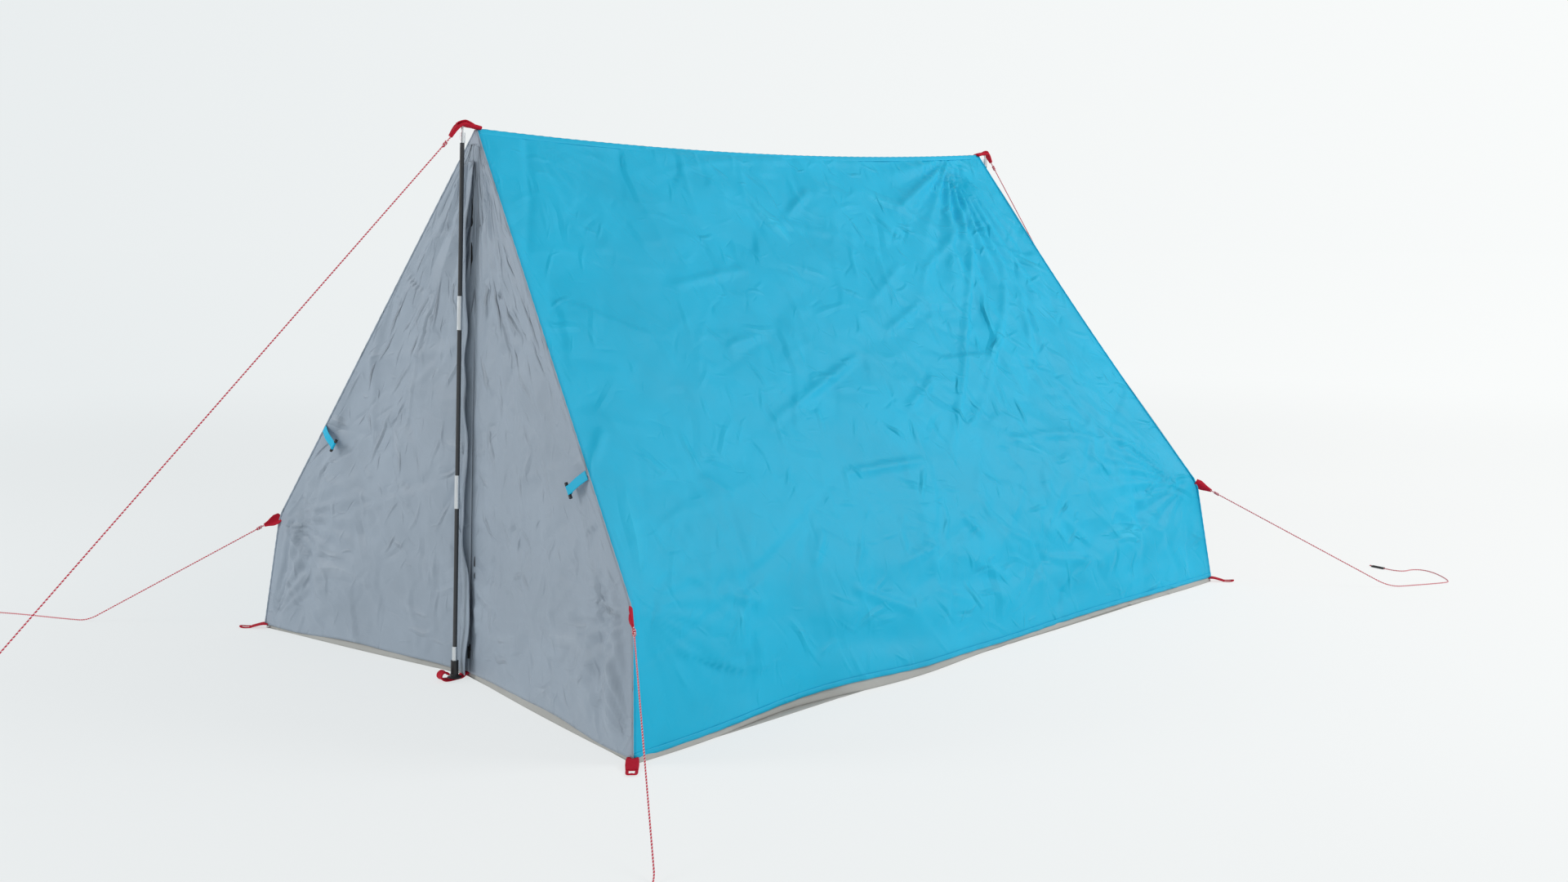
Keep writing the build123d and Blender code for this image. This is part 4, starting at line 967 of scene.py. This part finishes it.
for where, end in ENDS:
    tip_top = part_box(f"pole_{where}_tip")[1].z
    line = [(ridge_y - 0.008, ridge_z + 0.0006), (ridge_y + 0.008, ridge_z + 0.0045),
            (TIP_Y - 0.012, tip_top - 0.0035), (TIP_Y, tip_top + 0.0002), (TIP_Y + 0.01, tip_top - 0.0045),
            (TIP_Y + 0.02, tip_top - 0.014), (TIP_Y + 0.03, tip_top - 0.027)]
    strap(f"ridge_tab_webbing_{where}", [(0, end * y, z) for y, z in line],
          (0.021, 0.02, 0.022, 0.024, 0.02, 0.013, 0.007), (1, 0, 0), 0.0072, -0.18, [f"ridge_tab_{where}"])
    line = [(0.001, ridge_y + 0.004, ridge_z + 0.003), (0.002, TIP_Y - 0.013, tip_top + 0.001),
            (0.001, TIP_Y, tip_top + 0.0052), (-0.001, TIP_Y + 0.012, tip_top + 0.0005)]
    line = [(x, end * y, z) for x, y, z in line]
    strap(f"ridge_tab_fold_{where}", line, (0.014, 0.017, 0.018, 0.012), (1, 0, 0.25), 0.003, -0.3)

for name, ((side, end), (x, y), _, _) in KNEE_GUYS.items():
    knee = array([side * knee_x, end * knee_y, knee_z])
    way = unit(array([x, y, LIE]) - knee)
    sag = (0, 0, -0.002)
    line = [knee - way * 0.004, knee + way * 0.012 + sag, knee + way * 0.026 + sag, knee + way * 0.0455]
    upright = cross(way, unit(cross((0, 0, 1), way)))
    strap(f"knee_tab_{name}", line, (0.02, 0.025, 0.021, 0.013, 0.0075), upright, 0.0026,
          0.55 * side * end, ["knee_tabs"])

CORNER_TAB = ((-0.01, 0.01), (0, 0.0108), (0.012, 0.0085), (0.024, 0.005), (0.034, 0.0024))
PEG_LOOP = ((0.03, 0.0085, 0.0026), (0.04, 0.0088, 0.0016), (0.05, 0.0085, 0.0016), (0.0575, 0.006, 0.003),
            (0.06, 0.0, 0.0046), (0.0575, -0.006, 0.003), (0.05, -0.0085, 0.0016), (0.04, -0.0088, 0.0016),
            (0.03, -0.0085, 0.0026))
for where, end in ENDS:
    for name, side in SIDES:
        out = array([side * cos(CORNER_TAB_TURN), end * sin(CORNER_TAB_TURN), 0])
        level = array([-out[1], out[0], 0])
        root = array([side * corner_x, end * corner_y, 0])
        line = [root + out * reach + (0, 0, up) for reach, up in CORNER_TAB]
        strap(f"corner_tab_{name}_{where}", line, (0.022, 0.025, 0.026, 0.024), level, 0.0036, -0.06,
              ["corner_tabs"])
        line = [root + out * reach + level * off + (0, 0, up) for reach, off, up in PEG_LOOP]
        strap(f"peg_loop_{name}_{where}", line, (0.006, 0.006, 0.0075, 0.006, 0.006),
              lambda along: cross((0, 0, 1), along), 0.002, 0.0)

FOOT_TAB = ((END_FOOT - 0.012, 0.009), (END_FOOT + 0.003, 0.01), (0.938, 0.005), (0.947, 0.0012),
            (POLE_FOOT_Y, 0.001), (0.976, 0.0014), (0.99, 0.004), (0.998, 0.0115), (0.994, 0.0195),
            (0.984, 0.0205), (0.978, 0.014))
for where, end in ENDS:
    line = [(0, end * y, z) for y, z in FOOT_TAB]
    strap(f"foot_tab_{where}_webbing", line, (0.022, 0.024, 0.026, 0.025, 0.022), (1, 0.12 * end, 0), 0.0042,
          0.1, [f"foot_tab_{where}"])

# Tie-backs. A strap of the blue taffeta, hemmed double, sewn into the roof's front edge, with a black
# moulded toggle through the loop at its end.
TIE_SHARE = 0.745
TIE_CLOTH = ((0.03, -0.002), (0.2, -0.0036), (0.45, -0.0052), (0.75, -0.0028))
TIE_LOOP = ((-0.005, -0.0015), (0, -0.0038), (0.0038, 0), (0, 0.0036), (-0.007, 0.0015))
for name, side in SIDES:
    toggle_low, toggle_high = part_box(f"toggle_{name}")
    centre = 0.5 * (array(toggle_low) + array(toggle_high))
    ridge_end, knee = array([0, -ridge_y, ridge_z]), array([side * knee_x, -knee_y, knee_z])
    edge = ridge_end + (knee - ridge_end) * TIE_SHARE
    reach = centre - edge
    way = unit(reach)
    cloth = [edge + reach * share + (0, off, 0) for share, off in TIE_CLOTH]
    loop = [centre + way * along + (0, off, 0) for along, off in TIE_LOOP]
    strap(f"tie_strap_{name}_cloth", cloth + loop, (0.02, 0.0195, 0.0195), unit(knee - ridge_end), 0.0011, 0,
          [f"tie_strap_{name}"], (blue_cloth, "blue_cloth", f"tie_strap_{name}"))

# Poles, plastic and metal fittings. Three-section pultruded fibreglass tubes with bright ferrules and tips,
# moulded foot cups, toggles and runners, and a black lacquered zip slider.
FLANGE = ((0.0075, 0.0022), (0.015, 0.0022), (0.0158, 0.003), (0.0155, 0.004), (0.0135, 0.0048),
          (0.0105, 0.0058), (0.009, 0.008), (0.0085, 0.011), (0.0075, 0.0112))


def wear_group():
    """Handling wear: fine scratches from stretched noise and soft smudges from large noise."""
    tree, given, out = group("handling_wear", {"Vector": "Vector", "Size": "Float"},
                             {"Scratch": "Float", "Smudge": "Float"})
    long = node(tree, "Mapping", Vector=given["Vector"], Scale=(1.0, 1.0, 0.06))[0]
    fine = node(tree, "TexNoise", Vector=long, Scale=given["Size"], Detail=4.0, Roughness=0.7)[0]
    soft = node(tree, "TexNoise", Vector=given["Vector"], Scale=35.0, Detail=3.0)[0]
    feed(out, Scratch=ranged(fine, 0.45, 0.72), Smudge=soft)
    return tree


handling = wear_group()


def hard_material(name, colour, paler_colour, roughness, metallic, size, coat=0.0):
    """A hard finish whose scratches are paler and rougher than its ground."""
    material, tree, shader = new_material(name)
    wear = node(tree, "Group", {"node_tree": handling}, Vector=own_place(tree), Size=size)
    feed(shader, Base_Color=mixed(wear["Scratch"], colour, paler_colour), Metallic=metallic, Coat_Weight=coat,
         Roughness=ranged(wear["Smudge"], 0.3, 0.7, roughness - 0.06, roughness + 0.08),
         Normal=node(tree, "Bump", Strength=0.2, Distance=0.0001, Height=wear["Scratch"])[0])
    return material


finishes = {slot: hard_material(*sizes) for slot, *sizes in (
    ("fibreglass", "pole_fibreglass", (0.018, 0.021, 0.025), (0.035, 0.038, 0.042), 0.34, 0, 900, 0.3),
    ("pole_alloy", "ferrule_alloy", (0.66, 0.69, 0.71), (0.78, 0.8, 0.82), 0.3, 1, 1400),
    ("black_plastic", "moulded_black", (0.012, 0.012, 0.014), (0.03, 0.03, 0.034), 0.45, 0, 700),
    ("zip_metal", "lacquered_zinc", (0.018, 0.018, 0.02), (0.06, 0.06, 0.065), 0.32, 0.6, 1100),
    ("elastic", "shock_cord_braid", (0.04, 0.04, 0.045), (0.09, 0.09, 0.1), 0.75, 0, 2500))}
reach, rise = array(FLANGE).T[..., None]
angle = linspace(0, 2 * pi, 48, endpoint=False)
for where, end in ENDS:
    rings = joined(reach * cos(angle), end * POLE_FOOT_Y + reach * sin(angle), rise)
    faces = grid_faces(len(FLANGE) + 1, len(angle), wrap=True) % (len(FLANGE) * len(angle))
    flange = put_mesh(f"foot_flange_{where}", rings, faces)
    fit_piece(flange, finishes["black_plastic"], "black_plastic")
for row in frame["record"]["subparts"]:
    cad = frame["nodes"][row["node"]]
    if row["material_slot"] in finishes and not cad.hide_render:
        cad.data.materials.clear()
        cad.data.materials.append(finishes[row["material_slot"]])
